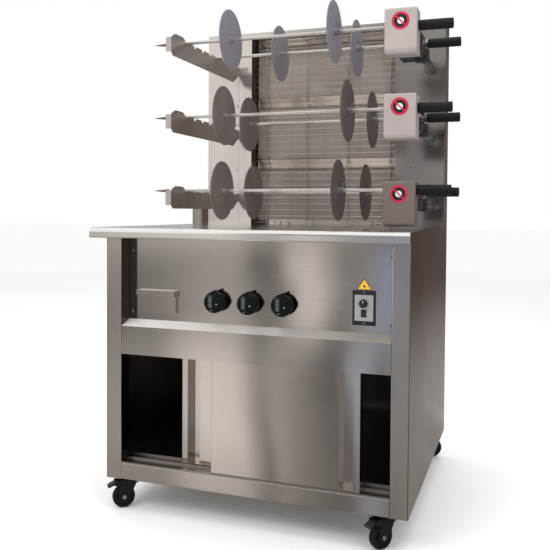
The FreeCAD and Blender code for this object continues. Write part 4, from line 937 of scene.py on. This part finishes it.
def make_triangle():
    """Plain sticker above the electric plate: a yellow triangle with a border and a dot."""
    sheet = Y_AXIS * 0.1 * MM
    base = Vector((span_of("speed_knob")[2].x + 1 * MM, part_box("control_panel")[0].y,
                   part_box("electric_plate")[1].z))
    middle = base + Z_AXIS * 13 * MM
    corners = [base + Vector((dx, 0, dz)) * MM for dx, dz in ((-23.5, 1.5), (23.5, 1.5), (0, 36))]
    mesh = bmesh.new()
    for index, (size, lift) in enumerate(((1.0, 0.15), (0.86, 0.25))):
        add_plate(mesh, [middle + (corner - middle) * size - Y_AXIS * lift * MM
                         for corner in corners], sheet, index)
    spot = base + Vector((0, -0.35, 12)) * MM
    add_plate(mesh, circle(spot, 3.4 * MM, 24), sheet, 0)
    finish_piece("triangle_sticker", mesh, ("plastic", "yellow"), "cabinet")


# ---- casters
def make_wheels():
    """Rubber tread on a black core with six spokes on each side."""
    half, bore, spokes = 12 * MM, 4.05 * MM, 6
    edge = half - 0.2 * MM
    for name in CASTERS:
        centre, axis = joint_line(f"caster_{name}_roll")
        radius = centre.z
        mesh = bmesh.new()
        tread = []
        for k in range(9):
            angle = math.pi * k / 8
            tread.append((-math.cos(angle) * edge,
                          radius - 5 * MM + 5 * MM * math.sin(angle) ** 0.6))
        tread += [(edge, radius * 0.74), (-edge, radius * 0.74)]
        add_loop_lathe(mesh, tread, centre, axis, 64, 0)
        core = [(-half + 0.6 * MM, radius * 0.74), (-half + 3.5 * MM, radius * 0.70),
                (-half + 4.5 * MM, radius * 0.42), (-half + 1.0 * MM, radius * 0.34),
                (-half - 0.8 * MM, radius * 0.25), (-half - 0.8 * MM, bore)]
        core += [(-along, r) for along, r in reversed(core)]
        add_loop_lathe(mesh, core, centre, axis, 64, 1)
        upright = Matrix.Translation(centre) @ axis.to_track_quat("Z", "Y").to_matrix().to_4x4()
        for side in (-1, 1):
            bar = side * (half - 4.6 * MM)
            for k in range(spokes):
                add_box(mesh, (radius * 0.30, -1.4 * MM, bar - 1.2 * MM),
                        (radius * 0.72, 1.4 * MM, bar + 1.2 * MM), 0.6 * MM, 1,
                        upright @ Matrix.Rotation(FULL_TURN * k / spokes, 4, "Z"))
        finish_piece(f"wheel_{name}", mesh, ("rubber", "caster"), f"caster_wheel_{name}",
                     (f"caster_wheel_{name}",))


def make_pedals():
    """Curved foot lever with ribs across its tread, on the fork's pin."""
    half = 12.6 * MM
    lever = ((-5.5, -4.5), (0, -5.8), (6, -5.4), (15, -7.6), (25, -12.2), (28.6, -10.8),
             (30.2, -8.4), (27.8, -4.9), (20, -0.4), (12, 3.0), (4, 5.8), (-2, 5.6),
             (-5.5, 2.5))
    rib = ((0, 0), (2.4, -0.8), (2.6, 0.6), (0.4, 1.4))
    for name in CASTERS[:2]:
        pin, across = joint_line(f"brake_pedal_{name}_press")
        out = across.cross(Z_AXIS)
        mesh = bmesh.new()

        def add_slab(outline, width):
            add_plate(mesh, [pin + out * along * MM + Z_AXIS * up * MM - across * width / 2
                             for along, up in outline], across * width)

        add_slab(lever, 2 * half)
        for k in range(3):
            add_slab([(12 + 5 * k + along, 2.6 - 2.35 * k + up) for along, up in rib], 1.6 * half)
        finish_piece(f"foot_brake_{name}", mesh, ("plastic",), f"brake_pedal_{name}",
                     (f"brake_pedal_{name}",), bevel=0.8 * MM)


def make_axle_nuts():
    """Hexagon nut and washer at both ends of each axle."""
    for name in CASTERS:
        centre, axis = joint_line(f"caster_{name}_roll")
        mesh = bmesh.new()
        for side in (-1, 1):
            start = centre + axis * side * 16.6 * MM
            add_lathe(mesh, rod(0, 1 * MM, 7 * MM), start, axis * side, 32)
            add_lathe(mesh, [(1.0 * MM, 0), (1.0 * MM, 5.6 * MM), (3.6 * MM, 5.6 * MM),
                             (4.2 * MM, 4.6 * MM), (4.2 * MM, 0)], start, axis * side, 6)
        finish_piece(f"axle_nuts_{name}", mesh, ("screw",), f"caster_fork_{name}",
                     bevel=0.2 * MM)


# ---- small hardware
def make_screws():
    """Pan-head screws with a cross recess, where the CAD screws are."""
    mesh = bmesh.new()
    for low, high in islands("fasteners"):
        size = high - low
        centre = (low + high) / 2
        radius = size.x / 2
        vertical = size.z > size.y * 1.0001 and abs(size.x - size.y) < 0.2 * MM
        if vertical:
            axis, face, length = -Z_AXIS, Vector((centre.x, centre.y, low.z)), size.z
        else:
            axis, face, length = -Y_AXIS, Vector((centre.x, low.y, centre.z)), size.y
        head = length - 8 * MM
        profile = [(-3 * MM, 0), (-3 * MM, radius * 0.38), (0.0, radius * 0.38), (0.0, radius)]
        for k in range(1, 5):
            angle = math.pi / 2 * k / 5
            profile.append((head * math.sin(angle), radius * math.cos(angle) ** 0.7))
        profile.append((head, 0.0))
        add_lathe(mesh, profile, face - axis * head, axis, 28)
        other = axis.cross(X_AXIS)
        reach, thin = radius * 0.50, radius * 0.11
        for first, second in ((X_AXIS, other), (other, X_AXIS)):
            corners = [face + axis * 0.05 * MM + first * a * reach + second * b * thin
                       for a, b in ((-1, -1), (1, -1), (1, 1), (-1, 1))]
            add_plate(mesh, corners, -axis * 0.3 * MM, 1)
    finish_piece("pan_head_screws", mesh, ("screw", "plastic"), "cabinet",
                 ("fasteners",))


def make_guard_clips():
    """Two bent clips that hold the foot of the guard to the counter."""
    low, high, _ = span_of("burner_guard")
    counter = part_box("housing_columns")[0].z
    width = 9 * MM
    bent = ((-24, 0), (-24, 1.5), (-2, 1.5), (-2, 9), (-4, 12.5), (0, 15), (3.6, 12),
            (1.8, 10.5), (-0.4, 11.5), (-0.4, 0))
    screw = ((1.4, 0), (1.4, 3.4), (3.2, 2.6), (3.6, 0))
    for side, share in (("left", 0.18), ("right", 0.83)):
        corner = Vector((low.x + (high.x - low.x) * share, low.y, counter))
        mesh = bmesh.new()
        add_plate(mesh, [corner + Vector((0, out, up)) * MM for out, up in bent], X_AXIS * width)
        add_lathe(mesh, [(up * MM, r * MM) for up, r in screw],
                  corner + Vector((width / 2, -14 * MM, 0)), Z_AXIS, 20)
        finish_piece(f"guard_clip_{side}", mesh, ("screw",), "cabinet",
                     bevel=0.3 * MM)


# ---- stage
def make_floor():
    mesh = bmesh.new()
    bmesh.ops.create_grid(mesh, x_segments=1, y_segments=1, size=40.0)
    n = Nodes("floor_paper")
    n.shader.inputs["Base Color"].default_value = (0.95, 0.95, 0.95, 1.0)
    n.shader.inputs["Roughness"].default_value = 0.75
    floor = scene_object("floor", mesh, [n.material])
    floor.visible_glossy = False


def room_light():
    """Bright and dark upright bands, laid out by angle about a hub behind the front."""
    n = Nodes("room_light")
    x, y, z = n.axes(n.add("TexCoord").outputs["Object"])
    hub_x, hub_y = 0.80, 1.62
    first, width = 5, 30
    across, ahead = n.math("SUBTRACT", hub_x, x), n.math("SUBTRACT", hub_y, y)
    wobble = n.spread(n.noise(1.0, 1.0, stretch=(0.5, 0.5, 0.25)), -0.012, 0.012)
    angle = n.plus(n.math("ARCTAN2", across, ahead), wobble)
    share = n.spread(angle, 0.0, 1.0, math.radians(first), math.radians(first + width))
    reach = n.length(across, ahead)

    def bands(tones):
        """Ramp from (degrees, tone), a tone being a colour or the red of a warm grey."""
        stops = []
        for degrees, tone in tones:
            colour = tone if isinstance(tone, tuple) else (tone, tone * 0.955, tone * 0.91)
            stops.append(((degrees - first) / width, colour))
        return n.ramp(share, stops)

    near = bands(((5, 0.34), (9, 0.40), (10.5, 0.22), (11.4, (0.46, 0.50, 0.57)),
                  (12.6, (0.46, 0.50, 0.57)), (13.4, 0.13), (15, 0.20), (17.6, 0.36),
                  (19.0, 0.52), (19.8, 0.22), (20.8, 0.50), (21.8, 0.90), (25, 0.96),
                  (26.5, 0.80), (28, 0.42), (33, 0.46)))
    far = bands(((5, 0.34), (8.4, (0.30, 0.36, 0.50)), (10.6, (0.38, 0.44, 0.58)),
                 (12.0, 0.36), (13.6, 0.20), (14.6, 0.55), (15.6, 0.90), (17.4, 0.80),
                 (18.4, 0.22), (20.5, 0.17), (22.5, 0.50), (25.5, 0.44), (28.5, 0.26),
                 (30.4, 0.22), (31.4, 0.08)))
    high = bands(((5, 0.26), (8, 0.40), (9.4, 0.08), (11.9, 0.13), (13.2, 0.66), (15, 0.34),
                  (18, 0.50), (21.5, 0.80), (23.5, 0.97), (35, 1.0)))
    foot = n.spread(reach, 0.55, 1.0, 2.4, 3.3)
    near = n.mix(foot, (0.20, 0.185, 0.17), near)
    colour = n.mix(n.spread(reach, 0.0, 1.0, 4.8, 6.6), near, far)
    colour = n.mix(n.spread(z, 0.0, 1.0, 0.3, 1.1), colour, high)
    behind = n.mix(n.spread(x, 0.0, 1.0, 0.5, 1.3), (0.48, 0.465, 0.45), (0.085, 0.062, 0.052))
    colour = n.mix(n.spread(y, 0.0, 1.0, 0.0, 2.0), colour, behind)
    emission = n.add("Emission", {"Color": colour, "Strength": 1.0}).outputs[0]
    n.tree.links.new(emission, n.tree.nodes["Material Output"].inputs["Surface"])
    return n.material


def make_room():
    """Round wall and floor that only polished metal picks up."""
    radius, height = 9.0, 5.0
    mesh = bmesh.new()
    bmesh.ops.create_cone(mesh, cap_ends=False, segments=64, radius1=radius, radius2=radius,
                          depth=height)
    bmesh.ops.translate(mesh, verts=mesh.verts, vec=(0, 0, height / 2))
    bmesh.ops.create_circle(mesh, cap_ends=True, segments=64, radius=radius)
    room = scene_object("room", mesh, [room_light()])
    room.location.z = -2 * MM
    for rays in ("camera", "diffuse", "shadow", "transmission"):
        setattr(room, f"visible_{rays}", False)


make_camera()
make_lights()
make_world()
make_floor()
make_room()
dress_cad_nodes()
make_grips()
make_sliding_discs()
make_chains()
make_motors()
make_signs()
make_gas_knobs()
make_speed_knob()
make_switch_inlay()
make_triangle()
make_wheels()
make_pedals()
make_axle_nuts()
make_screws()
make_guard_clips()
bpy.context.scene.view_settings.view_transform = "Standard"
